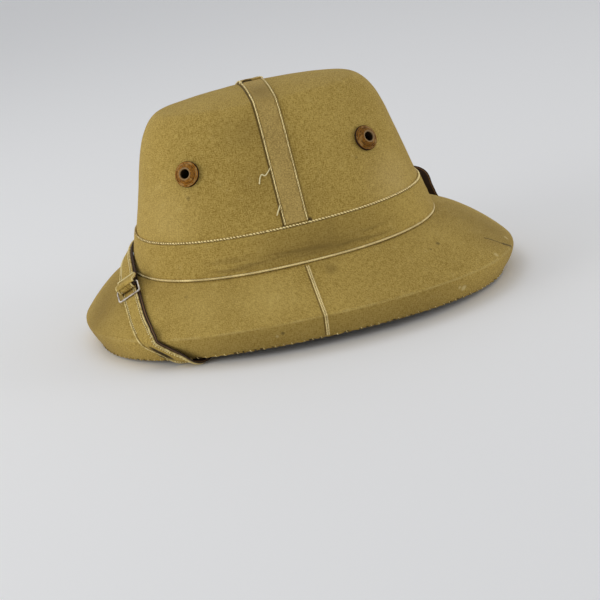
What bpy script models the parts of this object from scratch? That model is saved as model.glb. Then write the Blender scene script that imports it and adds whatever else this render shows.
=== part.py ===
"""Cloth-covered pith sun helmet with a hat band, four vents and a lined chin strap.

Metres, +Z up. The front of the hat faces -Y and the wearer's left is +X. Every piece is drawn in
the hat's own axes, whose origin is the middle of the crown's foot, where crown and brim meet.
An empty then tips and lifts the hat, so that its brim rests on z = 0 at the front and the back.
"""
import math

import bmesh
import bpy
from mathutils import Matrix, Vector

MM = 0.001
CLEAR = 0.3 * MM                        # left between pieces that touch
COLUMNS = 64                            # steps round the hat

# Crown
CROWN_HALF_LENGTH = 115 * MM
CROWN_HALF_WIDTH = 95 * MM
CROWN_END_LEAN = math.radians(14.6)     # front and back lean inwards
CROWN_SIDE_LEAN = math.radians(22.1)
CROWN_PLAN_POWER = 2.27                 # 2 is an ellipse, more is squarer
CROWN_HEIGHT = 117.6 * MM
CROWN_CORNER = 108.4 * MM               # height where side and top would meet if sharp
SHOULDER_DROP = 31 * MM
SHOULDER_REACH = 0.17                   # share of the top that the shoulder takes
CROWN_WALL = 6.5 * MM

# Brim
BRIM_HALF_WIDTH = 140 * MM
BRIM_FRONT = 163.3 * MM
BRIM_REAR = 168.9 * MM
BRIM_MIDDLE_Y = -8.4 * MM               # its widest line lies ahead of the crown's
BRIM_PLAN_POWER = 2.13
DROP_SIDE = 27 * MM
DROP_ENDS = 33.8 * MM
DROP_FRONT_EXTRA = 2.2 * MM             # the front dips more and the back less by this
BULGE_SIDE = -0.5 * MM
BULGE_ENDS = 6.3 * MM
RIM_HEIGHT = 18 * MM
RIM_TUCK = 8.5 * MM                     # the rim's foot lies inside its upper edge by this
RIM_TUCK_FRONT = 4 * MM                 # and by this much more at the very front
RIM_BELLY_FRONT = 3.4 * MM              # the rim face swells outwards there by this
RIM_FOOT = 4.5 * MM
BRIM_INNER_DEPTH = 12 * MM              # thickness at the head opening
REST_FLAT = 0.35 * MM                   # foot points this near the floor are pressed flat

# Band, piping and strip
BAND_FOOT = 2.4 * MM
BAND_TOP = 25.4 * MM
BAND_WALL = 1.4 * MM
PIPING_RADIUS = 0.9 * MM
CORD_RADIUS = 0.6 * MM
STRIP_WIDTH = 14.6 * MM
STRIP_WALL = 1.2 * MM
STRIP_FOOT = 27.6 * MM
SEAM_WIDTH = 3 * MM
SEAM_WALL = 1 * MM

# Vents
VENT_ANGLE_FRONT = math.radians(39.7)   # from the wearer's side towards the front
VENT_ANGLE_REAR = math.radians(40.4)    # and towards the back
VENT_HEIGHT_FRONT = 69.4 * MM
VENT_HEIGHT_REAR = 72.2 * MM
VENT_RADIUS = 9.3 * MM
VENT_BORE = 3.4 * MM
VENT_TUBE = 4.4 * MM
VENT_STAND = 5.9 * MM
VENT_STEPS = 16

# Chin strap
STRAP_WIDTH = 15 * MM
STRAP_WALL = 2.1 * MM                   # leather lining and cloth face together
TURN_RADIUS = 8 * MM                    # larger puts more of its sections into the bends
TAIL_SECTIONS = 90
STRAP_SECTIONS = 140
BUCKLE_WIRE = 0.75 * MM                 # radius
BUCKLE_ACROSS = 18.2 * MM
BUCKLE_ALONG = 9.7 * MM
BUCKLE_CORNER = 1.5 * MM
BUCKLE_NEAR = (-51.8 * MM, 123.8 * MM, 3.7 * MM)    # a bar's place on the brim and height over it
BUCKLE_FAR = (-43.2 * MM, 122.9 * MM, 6.3 * MM)
RIVET_RIGHT = (-10.3 * MM, 5.5 * MM)    # place on the crown's inner wall: y and height
RIVET_LEFT = (3.6 * MM, 5.0 * MM)
RIVET_SHANK = 1.3 * MM                  # radius
RIVET_HEAD = 3.6 * MM                   # radius
RIVET_HEAD_WALL = 1.2 * MM
RIVET_STACK = 4.7 * MM                  # from the crown's wall to the underside of the head
RIVET_DEPTH = 3.5 * MM
RIVET_STEPS = 12

DRILL = ("khaki_drill", (0.352, 0.254, 0.070), 0.85, 0.0)
STRIP_CLOTH = ("strip_cloth", (0.376, 0.262, 0.098), 0.85, 0.0)
PALE_CORD = ("pale_cord", (0.578, 0.485, 0.224), 0.80, 0.0)
VENT_FIBRE = ("vent_fibre", (0.262, 0.091, 0.026), 0.50, 0.0)
NICKEL = ("nickel", (0.305, 0.283, 0.242), 0.35, 0.9)


def material(spec):
    name, colour, roughness, metallic = spec
    made = bpy.data.materials.get(name)
    if made is None:
        made = bpy.data.materials.new(name)
        made.use_nodes = True
        shader = made.node_tree.nodes["Principled BSDF"]
        shader.inputs["Base Color"].default_value = (*colour, 1.0)
        shader.inputs["Roughness"].default_value = roughness
        shader.inputs["Metallic"].default_value = metallic
        made.diffuse_color = (*colour, 1.0)
    return made


def add_object(name, data, spec, hat):
    body = bpy.data.objects.new(name, data)
    bpy.context.collection.objects.link(body)
    data.materials.append(material(spec))
    body.parent = hat
    return body


def mesh_object(name, bm, spec, hat, sharp_degrees=40):
    bmesh.ops.recalc_face_normals(bm, faces=bm.faces)
    mesh = bpy.data.meshes.new(name)
    bm.to_mesh(mesh)
    bm.free()
    mesh.shade_smooth()
    mesh.set_sharp_from_angle(angle=math.radians(sharp_degrees))
    return add_object(name, mesh, spec, hat)


def closed_edges(bm, points):
    """One ring of vertices joined in a loop."""
    verts = [bm.verts.new(point) for point in points]
    return [bm.edges.new((a, b)) for a, b in zip(verts, verts[1:] + verts[:1])]


def loft(rings, closed):
    """Skin drawn out ring by ring: closed joins the last ring to the first, otherwise both are capped."""
    bm = bmesh.new()
    first = closed_edges(bm, rings[0])
    edges = first
    ring = list(bm.verts)
    for points in rings[1:] + rings[:1] * closed:
        made = bmesh.ops.extrude_edge_only(bm, edges=edges)["geom"]
        fresh = {item for item in made if isinstance(item, bmesh.types.BMVert)}
        edges = [item for item in made if isinstance(item, bmesh.types.BMEdge)
                 and fresh.issuperset(item.verts)]
        ring = [next(edge.other_vert(vert) for edge in vert.link_edges
                     if edge.other_vert(vert) in fresh) for vert in ring]
        for vert, point in zip(ring, points):
            vert.co = point
    if closed:
        bmesh.ops.remove_doubles(bm, verts=bm.verts, dist=0.001 * MM)
    else:
        for loop in (first, edges):
            bmesh.ops.edgeloop_fill(bm, edges=loop)
    return bm


def turned(profile, steps):
    """(Radius, height) points turned about Z; a profile with ends on the axis needs no closing edge."""
    bm = bmesh.new()
    edges = closed_edges(bm, [Vector((radius, 0, height)) for radius, height in profile])
    if profile[0][0] == 0:
        bm.edges.remove(edges.pop())
    verts = list(bm.verts)
    bmesh.ops.spin(bm, geom=verts + edges, cent=(0, 0, 0), axis=(0, 0, 1),
                   steps=steps, angle=math.tau, use_merge=True)
    bmesh.ops.remove_doubles(bm, verts=bm.verts, dist=0.001 * MM)
    return bm


def plug(radius, low, high, steps):
    """Cylinder about Z, for cutting round holes."""
    return turned([(0, low), (radius, low), (radius, high), (0, high)], steps)


def cord_object(name, points, radius, cyclic, spec, hat, sides=1):
    """Round cord of one poly spline."""
    curve = bpy.data.curves.new(name, "CURVE")
    curve.dimensions = "3D"
    curve.bevel_depth = radius
    curve.bevel_resolution = sides
    curve.use_fill_caps = True
    spline = curve.splines.new("POLY")
    spline.points.add(len(points) - 1)
    for slot, point in zip(spline.points, points):
        slot.co = (*point, 1.0)
    spline.use_cyclic_u = cyclic
    return add_object(name, curve, spec, hat)


# ---------------------------------------------------------------- shape of the hat

def plan_unit(angle, power):
    """Unit superellipse, from the wearer's left (+X) towards the back (+Y)."""
    c, s = math.cos(angle), math.sin(angle)
    return (math.copysign(abs(c) ** (2 / power), c), math.copysign(abs(s) ** (2 / power), s))


def crown_side(angle, height, out=0.0):
    """The crown's leaning wall at a height, moved outwards by out."""
    x, y = plan_unit(angle, CROWN_PLAN_POWER)
    half_width = CROWN_HALF_WIDTH - height * math.tan(CROWN_SIDE_LEAN) + out
    half_length = CROWN_HALF_LENGTH - height * math.tan(CROWN_END_LEAN) + out
    return Vector((half_width * x, half_length * y, height))


def crown_point(angle, run, out=0.0):
    """Run 0 to 1 climbs the side, 1 to 2 turns the shoulder and 2 to 3 crosses the top."""
    side_top = CROWN_CORNER - SHOULDER_DROP
    if run <= 1:
        return crown_side(angle, side_top * run, out)
    corner = crown_side(angle, CROWN_CORNER, out)

    def top(share):
        height = CROWN_HEIGHT - (CROWN_HEIGHT - CROWN_CORNER) * share ** 2
        return Vector((corner.x * share, corner.y * share, height + out))

    if run >= 2:
        return top((1 - SHOULDER_REACH) * (3 - run))
    turn = run - 1
    bend = Vector((corner.x, corner.y, corner.z + out))
    lower = crown_side(angle, side_top, out).lerp(bend, turn)
    upper = bend.lerp(top(1 - SHOULDER_REACH), turn)
    return lower.lerp(upper, turn)


def crown_ring(run, out=0.0):
    return [crown_point(math.tau * i / COLUMNS, run, out) for i in range(COLUMNS)]


def side_ring(height, out):
    return [crown_side(math.tau * i / COLUMNS, height, out) for i in range(COLUMNS)]


def rim_plan(angle, out=0.0):
    x, y = plan_unit(angle, BRIM_PLAN_POWER)
    reach = BRIM_FRONT if y < 0 else BRIM_REAR
    return Vector(((BRIM_HALF_WIDTH + out) * x, (reach + out) * y + BRIM_MIDDLE_Y, 0))


def rim_drop(angle):
    s = math.sin(angle)
    return DROP_SIDE + (DROP_ENDS - DROP_SIDE) * s * s - DROP_FRONT_EXTRA * s


def brim_top(angle, share, lift=0.0):
    """Share 0 is the crown's foot and 1 the rim's upper edge."""
    inner = crown_side(angle, 0.0)
    outer = rim_plan(angle)
    s = math.sin(angle)
    bulge = BULGE_SIDE + (BULGE_ENDS - BULGE_SIDE) * s * s
    point = inner.lerp(outer, share)
    point.z = lift - rim_drop(angle) * share + bulge * 4 * share * (1 - share)
    return point


def rim_face(angle, share, out=0.0):
    """Share 0 is the rim's upper edge and 1 its foot."""
    front = max(0.0, -math.sin(angle))
    tuck = RIM_TUCK + RIM_TUCK_FRONT * front ** 8
    belly = RIM_BELLY_FRONT * front ** 12 * 4 * share * (1 - share)
    point = rim_plan(angle, out + belly - tuck * share)
    point.z = -rim_drop(angle) - RIM_HEIGHT * share
    return point


def brim_height(x, y):
    """Height of the brim's upper face over a plan point, by halving the angle between two rays."""
    middle = math.atan2(y / CROWN_HALF_LENGTH, x / CROWN_HALF_WIDTH)
    low, high = middle - 0.5, middle + 0.5
    spot = Vector((x, y))
    for _ in range(40):
        angle = (low + high) / 2
        inner = crown_side(angle, 0.0).xy
        outer = rim_plan(angle).xy
        ray = outer - inner
        if ray.x * (spot - inner).y - ray.y * (spot - inner).x > 0:
            low = angle
        else:
            high = angle
    share = (spot - inner).dot(ray) / ray.length_squared
    return brim_top(angle, share).z


def surface_normal(a, b, c):
    """Unit normal of three points that turn anticlockwise seen from outside."""
    return (b - a).cross(c - a).normalized()


# ---------------------------------------------------------------- crown and brim

def build_crown(hat):
    inner_runs = (2.7, 2.35, 2.0, 1.66, 1.33, 1.0)
    outer_runs = (0.5, 1.0, 1.2, 1.4, 1.6, 1.8, 2.0, 2.3, 2.65)
    seat = CLEAR / 2
    rings = [crown_ring(run, -CROWN_WALL) for run in inner_runs]
    rings.append(side_ring(seat, -CROWN_WALL))
    rings.append(side_ring(seat, 0.0))
    rings += [crown_ring(run) for run in outer_runs]
    crown = mesh_object("crown", loft(rings, closed=False), DRILL, hat)
    for frame in vent_frames().values():
        add_cutter(crown, plug(VENT_TUBE + CLEAR, -2 * CROWN_WALL, 2 * CROWN_WALL, VENT_STEPS), frame, hat)
    for side in (-1, 1):
        add_cutter(crown, rivet_hole(RIVET_STACK), rivet_frame(side), hat)


def add_cutter(body, bm, frame, hat):
    """Boolean difference with a hidden cutter placed by frame."""
    cutter = mesh_object(body.name + "_cutter", bm, DRILL, hat)
    cutter.matrix_local = frame
    cutter.hide_render = True
    cutter.display_type = "WIRE"
    cut = body.modifiers.new("cut", "BOOLEAN")
    cut.operation = "DIFFERENCE"
    cut.solver = "EXACT"
    cut.object = cutter


def brim_rings():
    """Closed section: head opening, upper face, rim and underside."""
    inner_foot = [crown_side(math.tau * i / COLUMNS, 0.0, -CROWN_WALL) for i in range(COLUMNS)]
    rings = []
    rings.append([p + Vector((0, 0, -BRIM_INNER_DEPTH)) for p in inner_foot])
    rings.append([p + Vector((0, 0, -CLEAR / 2)) for p in inner_foot])
    angles = [math.tau * i / COLUMNS for i in range(COLUMNS)]
    for share in (0.0, 0.2, 0.4, 0.6, 0.8, 0.94):
        lift = -CLEAR / 2 if share == 0 else 0.0
        rings.append([brim_top(a, share, lift) for a in angles])
    edge_round = 0.9 * MM
    rings.append([rim_face(a, 0.035, -edge_round / 2) for a in angles])
    for share, belly in ((0.14, 0.2), (0.34, 0.5), (0.62, 0.7), (0.9, 0.2)):
        rings.append([rim_face(a, share, belly * MM) for a in angles])
    for inset in (1.2 * MM, 1.2 * MM + RIM_FOOT):
        rings.append([rim_face(a, 1.0, -inset) for a in angles])
    for share, thick in ((0.82, 16 * MM), (0.55, 14 * MM), (0.28, 13 * MM)):
        rings.append([brim_top(a, share, -thick) for a in angles])
    return rings


def build_brim(hat):
    tip = Matrix.Rotation(hat.rotation_euler.x, 4, "X")
    rings = brim_rings()
    floor = min((tip @ p).z for ring in rings for p in ring)
    back = tip.inverted()
    for ring in rings:
        for i, point in enumerate(ring):
            spot = tip @ point
            if spot.z < floor + REST_FLAT:
                spot.z = floor
                ring[i] = back @ spot
    mesh_object("brim", loft(rings, closed=True), DRILL, hat)


def hat_tip():
    """Angle that brings the front and back of the rim's foot level."""
    front, back = rim_face(-math.pi / 2, 1.0), rim_face(math.pi / 2, 1.0)
    return -math.atan2(back.z - front.z, back.y - front.y)


def hat_empty():
    """Tips the hat, stands it on z = 0 and centres its outline over the origin."""
    hat = bpy.data.objects.new("hat", None)
    bpy.context.collection.objects.link(hat)
    hat.rotation_euler.x = hat_tip()
    tip = Matrix.Rotation(hat.rotation_euler.x, 4, "X")
    spots = [tip @ point for ring in brim_rings() for point in ring]
    ends = [spot.y for spot in spots]
    hat.location.y = -(min(ends) + max(ends)) / 2
    hat.location.z = -min(spot.z for spot in spots)
    return hat


# ---------------------------------------------------------------- band, strip and seams

def build_band(hat):
    near, far = CLEAR, CLEAR + BAND_WALL
    middle = (BAND_FOOT + BAND_TOP) / 2
    rings = [side_ring(BAND_FOOT, near), side_ring(BAND_TOP, near), side_ring(BAND_TOP, far),
             side_ring(middle, far), side_ring(BAND_FOOT, far)]
    mesh_object("hat_band", loft(rings, closed=True), DRILL, hat)
    cord_height = BAND_TOP + CLEAR + CORD_RADIUS
    cord_object("band_top_cord", side_ring(cord_height, CLEAR + CORD_RADIUS * 1.15), CORD_RADIUS,
                True, PALE_CORD, hat)
    piping_height = BAND_FOOT - CLEAR - PIPING_RADIUS
    cord_object("band_lower_piping", side_ring(piping_height, CLEAR + PIPING_RADIUS * 1.15),
                PIPING_RADIUS, True, PALE_CORD, hat)


def strip_path(out):
    """Line over the crown from the right ear to the left, at a distance from its face."""
    side_top = CROWN_CORNER - SHOULDER_DROP
    first = STRIP_FOOT / side_top
    rise = [first, 0.7, 1.0, 1.17, 1.33, 1.5, 1.67, 1.83, 2.0, 2.3, 2.65]
    line = [crown_point(math.pi, run, out) for run in rise]
    line.append(Vector((0, 0, CROWN_HEIGHT + out)))
    line += [crown_point(0.0, run, out) for run in reversed(rise)]
    for point in line:
        point.y = 0.0
    return line


def ribbon_rings(low, high, width):
    """Rectangles round a strip given by two parallel lines in the plane y = 0."""
    side = Vector((0, width / 2, 0))
    return [[a - side, a + side, b + side, b - side] for a, b in zip(low, high)]


def build_strip(hat):
    low, high = strip_path(CLEAR), strip_path(CLEAR + STRIP_WALL)
    rings = ribbon_rings(low, high, STRIP_WIDTH)
    mesh_object("crown_strip", loft(rings, closed=False), STRIP_CLOTH, hat)
    for name, side in (("front", -1), ("rear", 1)):
        offset = Vector((0, side * (STRIP_WIDTH / 2 + CLEAR + CORD_RADIUS), 0))
        line = [point + offset for point in strip_path(CLEAR + CORD_RADIUS * 1.2)]
        cord_object("crown_strip_cord_" + name, line, CORD_RADIUS, False, PALE_CORD, hat)


def seam_line(angle, out):
    """From the piping over the brim and down the rim to its foot."""
    start = (2 * PIPING_RADIUS + 3 * CLEAR + BAND_WALL) / (BRIM_HALF_WIDTH - CROWN_HALF_WIDTH)
    line = [brim_top(angle, share, out) for share in (start, 0.2, 0.4, 0.6, 0.8, 0.95)]
    line.append(rim_face(angle, 0.03, out * 0.9))
    line += [rim_face(angle, share, out + 0.7 * MM) for share in (0.16, 0.55, 0.92)]
    return line


def build_seams(hat):
    for name, angle in (("right", math.pi), ("left", 0.0)):
        low = seam_line(angle, CLEAR * 1.3)
        high = seam_line(angle, CLEAR * 1.3 + SEAM_WALL)
        for a, b in zip(low, high):
            a.y = b.y = 0.0
        mesh_object("brim_seam_" + name, loft(ribbon_rings(low, high, SEAM_WIDTH), closed=False),
                    PALE_CORD, hat)


# ---------------------------------------------------------------- vents

def frame_on(spot, normal, up):
    """Placing matrix with Z along the normal."""
    z = normal.normalized()
    x = up.cross(z).normalized()
    y = z.cross(x)
    return Matrix.Translation(spot) @ Matrix((x, y, z)).transposed().to_4x4()


def vent_frames():
    frames = {}
    places = (("right_rear", math.pi - VENT_ANGLE_REAR), ("right_front", math.pi + VENT_ANGLE_FRONT),
              ("left_rear", VENT_ANGLE_REAR), ("left_front", -VENT_ANGLE_FRONT))
    step = 0.02
    for name, angle in places:
        height = VENT_HEIGHT_REAR if name.endswith("rear") else VENT_HEIGHT_FRONT
        spot = crown_side(angle, height)
        normal = surface_normal(spot, crown_side(angle + step, height),
                                crown_side(angle, height + step * CROWN_HALF_WIDTH))
        frames[name] = frame_on(spot, normal, Vector((0, 0, 1)))
    return frames


def build_vents(hat):
    inside = -(CROWN_WALL + 2 * MM)
    back = 0.35 * MM
    profile = [
        (VENT_BORE, inside),
        (VENT_TUBE, inside),
        (VENT_TUBE, back),
        (VENT_RADIUS - 0.3 * MM, back),
        (VENT_RADIUS, VENT_STAND * 0.34),
        (VENT_RADIUS - 0.7 * MM, VENT_STAND * 0.42),
        (VENT_RADIUS - 3.0 * MM, VENT_STAND * 0.80),
        (VENT_BORE + 1.4 * MM, VENT_STAND),
        (VENT_BORE + 0.4 * MM, VENT_STAND),
        (VENT_BORE, VENT_STAND - 0.6 * MM),
    ]
    for name, frame in vent_frames().items():
        vent = mesh_object("vent_" + name, turned(profile, VENT_STEPS), VENT_FIBRE, hat)
        vent.matrix_local = frame


# ---------------------------------------------------------------- chin strap

# Stations of the strap in millimetres and hat axes: a point on the middle of its inner face, then the
# way its khaki face looks. The tail runs out from the right ear, under the brim, round the rim's foot
# and along the brim's back edge. The long run goes on from the buckle round the left side, crosses the
# rim at the left front and comes back under the brim to the left ear.
TAIL_ROUTE = (
    (-83.9, -16.9, 7.7, 0.94, 0.01, -0.35),
    (-86.1, 3.0, 0.9, 0.98, 0.00, -0.22),
    (-85.5, 23.8, -9.8, 0.98, -0.05, -0.19),
    (-87.3, 45.8, -25.2, 0.83, -0.03, -0.56),
    (-93.0, 66.0, -37.5, 0.56, 0.15, -0.81),
    (-98.8, 81.5, -45.2, 0.07, 0.09, -0.99),
    (-104.6, 91.7, -47.5, -0.06, 0.26, -0.96),
    (-104.2, 101.1, -43.3, -0.55, 0.55, -0.63),
    (-99.8, 110.6, -38.2, -0.70, 0.56, -0.44),
    (-97.4, 117.4, -32.4, -0.69, 0.58, -0.42),
    (-95.0, 120.2, -28.0, -0.69, 0.65, 0.31),
    (-88.9, 122.0, -24.9, -0.47, 0.50, 0.72),
    (-76.3, 123.4, -18.4, -0.42, 0.52, 0.75),
    (-60.3, 123.6, -10.7, -0.32, 0.50, 0.80),
    (-45.2, 123.6, -5.7, -0.22, 0.47, 0.86),
    (-31.0, 123.2, -2.9, -0.13, 0.43, 0.89),
    (-21.0, 122.8, -1.5, -0.06, 0.42, 0.91),
)
STRAP_ROUTE = (
    (-39.6, 124.3, 0.3, -0.15, 0.44, 0.88),
    (-32.0, 123.2, 0.4, -0.11, 0.42, 0.90),
    (-24.0, 122.4, 1.6, -0.07, 0.46, 0.89),
    (-12.0, 121.1, 3.9, 0.00, 0.60, 0.80),
    (0.0, 120.0, 5.6, 0.02, 0.68, 0.73),
    (12.0, 118.3, 6.8, 0.07, 0.75, 0.66),
    (24.0, 116.0, 7.4, 0.17, 0.78, 0.60),
    (38.0, 112.0, 7.2, 0.28, 0.77, 0.57),
    (56.0, 103.5, 6.4, 0.50, 0.70, 0.51),
    (76.0, 84.0, 6.4, 0.72, 0.52, 0.46),
    (90.0, 55.0, 7.6, 0.84, 0.30, 0.45),
    (95.3, 22.0, 8.5, 0.90, 0.10, 0.43),
    (95.4, -15.0, 9.0, 0.91, -0.06, 0.40),
    (91.5, -52.0, 8.6, 0.95, -0.16, 0.26),
    (85.5, -90.0, 6.6, 0.97, -0.20, 0.14),
    (80.5, -117.0, 4.6, 0.95, -0.28, 0.12),
    (78.8, -128.3, 0.8, 0.92, -0.36, 0.18),
    (78.6, -131.0, -8.4, 0.87, -0.42, 0.26),
    (80.9, -134.6, -18.6, 0.76, -0.54, 0.36),
    (85.8, -140.3, -29.6, 0.66, -0.66, 0.36),
    (92.2, -135.0, -38.8, 0.65, -0.62, -0.44),
    (97.2, -125.2, -47.0, 0.70, -0.57, -0.43),
    (94.9, -118.0, -50.8, 0.11, -0.18, -0.98),
    (91.8, -106.3, -48.9, -0.16, 0.28, -0.95),
    (90.5, -88.0, -40.0, -0.45, 0.30, -0.84),
    (87.6, -63.8, -29.9, -0.71, 0.22, -0.67),
    (85.4, -39.8, -17.9, -0.92, 0.11, -0.37),
    (85.9, -13.9, -3.1, -0.98, 0.01, -0.20),
    (84.5, 10.0, 7.9, -0.93, 0.00, -0.37),
)


def catmull_rom(a, b, c, d, t):
    return 0.5 * ((2 * b) + (c - a) * t + (2 * a - 5 * b + 4 * c - d) * t * t
                  + (3 * b - a - 3 * c + d) * t * t * t)


def smooth_route(route, steps):
    """(Point, normal) pairs along a smooth curve through a route's stations, closer where it turns."""
    spots = [Vector(row[:3]) * MM for row in route]
    looks = [Vector(row[3:]).normalized() for row in route]
    spots = [2 * spots[0] - spots[1]] + spots + [2 * spots[-1] - spots[-2]]
    looks = [looks[0]] + looks + [looks[-1]]
    fine = []
    for i in range(1, len(spots) - 2):
        for j in range(12):
            t = j / 12
            fine.append((catmull_rom(*spots[i - 1:i + 3], t), catmull_rom(*looks[i - 1:i + 3], t)))
    fine.append((spots[-2], looks[-2]))
    lengths = [0.0]
    for (a, look_a), (b, look_b) in zip(fine, fine[1:]):
        lengths.append(lengths[-1] + (b - a).length + TURN_RADIUS * look_a.angle(look_b))
    even = []
    k = 0
    for i in range(steps + 1):
        reach = lengths[-1] * i / steps
        while k < len(fine) - 2 and lengths[k + 1] < reach:
            k += 1
        t = (reach - lengths[k]) / (lengths[k + 1] - lengths[k])
        even.append((fine[k][0].lerp(fine[k + 1][0], t), fine[k][1].lerp(fine[k + 1][1], t)))
    return even


def strap_rings(line):
    """Rectangles round the strap, whose inner face follows the line."""
    rings = []
    last = len(line) - 1
    for i, (spot, look) in enumerate(line):
        along = (line[min(i + 1, last)][0] - line[max(i - 1, 0)][0]).normalized()
        across = look.cross(along).normalized() * (STRAP_WIDTH / 2)
        up = along.cross(across).normalized()
        wall = up * STRAP_WALL
        rings.append([spot - across, spot + across, spot + across + wall, spot - across + wall])
    return rings


def build_strap(hat, name, line, side):
    """Strap whose end at the ear is pierced for its rivet."""
    strap = mesh_object(name, loft(strap_rings(line), closed=False), DRILL, hat)
    add_cutter(strap, rivet_hole(STRAP_WALL + RIVET_STACK), rivet_frame(side), hat)


def over_brim(x, y, lift):
    """Point at a height over the brim's upper face, and the face's normal there."""
    step = 1 * MM
    spot = Vector((x, y, brim_height(x, y)))
    ahead = Vector((x + step, y, brim_height(x + step, y)))
    beside = Vector((x, y + step, brim_height(x, y + step)))
    normal = surface_normal(spot, ahead, beside)
    return spot + normal * lift, normal


def buckle_frame():
    """Placing matrix of the buckle: X runs along the strap, Z off the brim."""
    near, look = over_brim(*BUCKLE_NEAR)
    far, _ = over_brim(*BUCKLE_FAR)
    x = (far - near).normalized()
    y = look.cross(x).normalized()
    z = x.cross(y)
    middle = (near + far) / 2
    return Matrix.Translation(middle) @ Matrix((x, y, z)).transposed().to_4x4()


def build_buckle(hat):
    corners = []
    half_along, half_across = BUCKLE_ALONG / 2, BUCKLE_ACROSS / 2
    for cx, cy, first in ((1, 1, 0), (-1, 1, 90), (-1, -1, 180), (1, -1, 270)):
        centre = Vector((cx * (half_along - BUCKLE_CORNER), cy * (half_across - BUCKLE_CORNER), 0))
        for turn in (0, 30, 60, 90):
            angle = math.radians(first + turn)
            corners.append(centre + BUCKLE_CORNER * Vector((math.cos(angle), math.sin(angle), 0)))
    buckle = cord_object("buckle_frame", corners, BUCKLE_WIRE, True, NICKEL, hat)
    buckle.matrix_local = buckle_frame()


def fold_line():
    """The long run's start: a short return under the buckle's far bar, then a turn round it."""
    frame = buckle_frame()
    centre = frame @ Vector((BUCKLE_ALONG / 2, 0, 0))
    bar = frame.to_3x3() @ Vector((0, 1, 0))
    _, normal = over_brim(*BUCKLE_FAR)
    forward = bar.cross(normal).normalized()
    up = forward.cross(bar)
    radius = BUCKLE_WIRE + CLEAR
    line = [(centre + forward * reach - up * radius, -up) for reach in (4 * MM, 2 * MM)]
    for turn in range(-90, 91, 30):
        look = up * math.sin(math.radians(turn)) - forward * math.cos(math.radians(turn))
        line.append((centre + look * radius, look))
    return line


def rivet_frame(side):
    """On the crown's inner wall, with Z into the hollow. Side is -1 on the right and 1 on the left."""
    y, height = RIVET_RIGHT if side < 0 else RIVET_LEFT
    lean = math.tan(CROWN_SIDE_LEAN)
    x = side * (CROWN_HALF_WIDTH - CROWN_WALL - height * lean)
    return frame_on(Vector((x, y, height)), Vector((-side, 0, -lean)), Vector((0, 0, 1)))


def rivet_hole(reach):
    """Cutter for the shank, from the bottom of the hole in the crown up to a height over its wall."""
    return plug(RIVET_SHANK + CLEAR, -RIVET_DEPTH - CLEAR, reach, RIVET_STEPS)


def build_rivets(hat):
    """Shank through the strap's end into the crown's wall, under a low domed head."""
    head, top = RIVET_STACK, RIVET_STACK + RIVET_HEAD_WALL
    profile = [(0, -RIVET_DEPTH), (RIVET_SHANK, -RIVET_DEPTH), (RIVET_SHANK, head),
               (RIVET_HEAD, head), (RIVET_HEAD * 0.85, (head + top) / 2), (RIVET_HEAD * 0.5, top),
               (0, top)]
    for name, side in (("right", -1), ("left", 1)):
        bm = turned(profile, RIVET_STEPS)
        rivet = mesh_object("strap_rivet_" + name, bm, NICKEL, hat)
        rivet.matrix_local = rivet_frame(side)


def main():
    for old in list(bpy.data.objects):
        bpy.data.objects.remove(old, do_unlink=True)
    hat = hat_empty()
    build_crown(hat)
    build_brim(hat)
    build_band(hat)
    build_strip(hat)
    build_seams(hat)
    build_vents(hat)
    build_strap(hat, "chin_strap_tail", smooth_route(TAIL_ROUTE, TAIL_SECTIONS), -1)
    build_strap(hat, "chin_strap", fold_line() + smooth_route(STRAP_ROUTE, STRAP_SECTIONS), 1)
    build_buckle(hat)
    build_rivets(hat)


main()
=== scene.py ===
import math
import random

import bmesh
import bpy
from mathutils import Matrix, Vector, noise


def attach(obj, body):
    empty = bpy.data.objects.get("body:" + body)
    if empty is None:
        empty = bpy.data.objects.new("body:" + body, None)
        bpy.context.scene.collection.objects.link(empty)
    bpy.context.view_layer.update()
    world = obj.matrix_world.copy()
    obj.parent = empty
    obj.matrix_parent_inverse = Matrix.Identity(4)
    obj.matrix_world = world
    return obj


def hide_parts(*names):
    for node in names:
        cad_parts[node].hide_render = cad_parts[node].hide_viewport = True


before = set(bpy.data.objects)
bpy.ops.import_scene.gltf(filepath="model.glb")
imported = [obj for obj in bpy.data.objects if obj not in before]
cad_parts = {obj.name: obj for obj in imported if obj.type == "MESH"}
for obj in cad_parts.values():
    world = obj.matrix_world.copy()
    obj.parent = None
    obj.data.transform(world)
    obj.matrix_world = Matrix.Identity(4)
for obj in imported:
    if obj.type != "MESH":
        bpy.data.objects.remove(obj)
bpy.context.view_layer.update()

MM = 0.001

# ---------------------------------------------------------------- Studio
# A plain pale floor under a plain pale surround, with large soft lamps behind, in front and overhead,
# and a camera that looks at the right side of the hat from a little behind and above.
# HAT carries the hat's own axes, which start at the crown's foot, to where the hat stands on the floor.
HAT = Matrix.Translation((0, 6.517 * MM, 51.824 * MM)) @ Matrix.Rotation(math.radians(-0.81), 4, "X")
CAMERA_SPOT = Vector((-1234.701, 156.064, 320.316)) * MM     # all three in the hat's own axes
CAMERA_AIM = Vector((0, -2.411, -54.383)) * MM
CAMERA_ROLL = math.radians(-11.393)
CAMERA_LENS = 101.1
FLOOR_SIZE = 9.0
FLOOR_PAINT = (0.90, 0.905, 0.915)
FLOOR_ROUGHNESS = 0.7
SURROUND = (0.93, 0.94, 0.96)
SURROUND_STRENGTH = 0.60

scene = bpy.context.scene
scene.view_settings.view_transform = "Standard"

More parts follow.
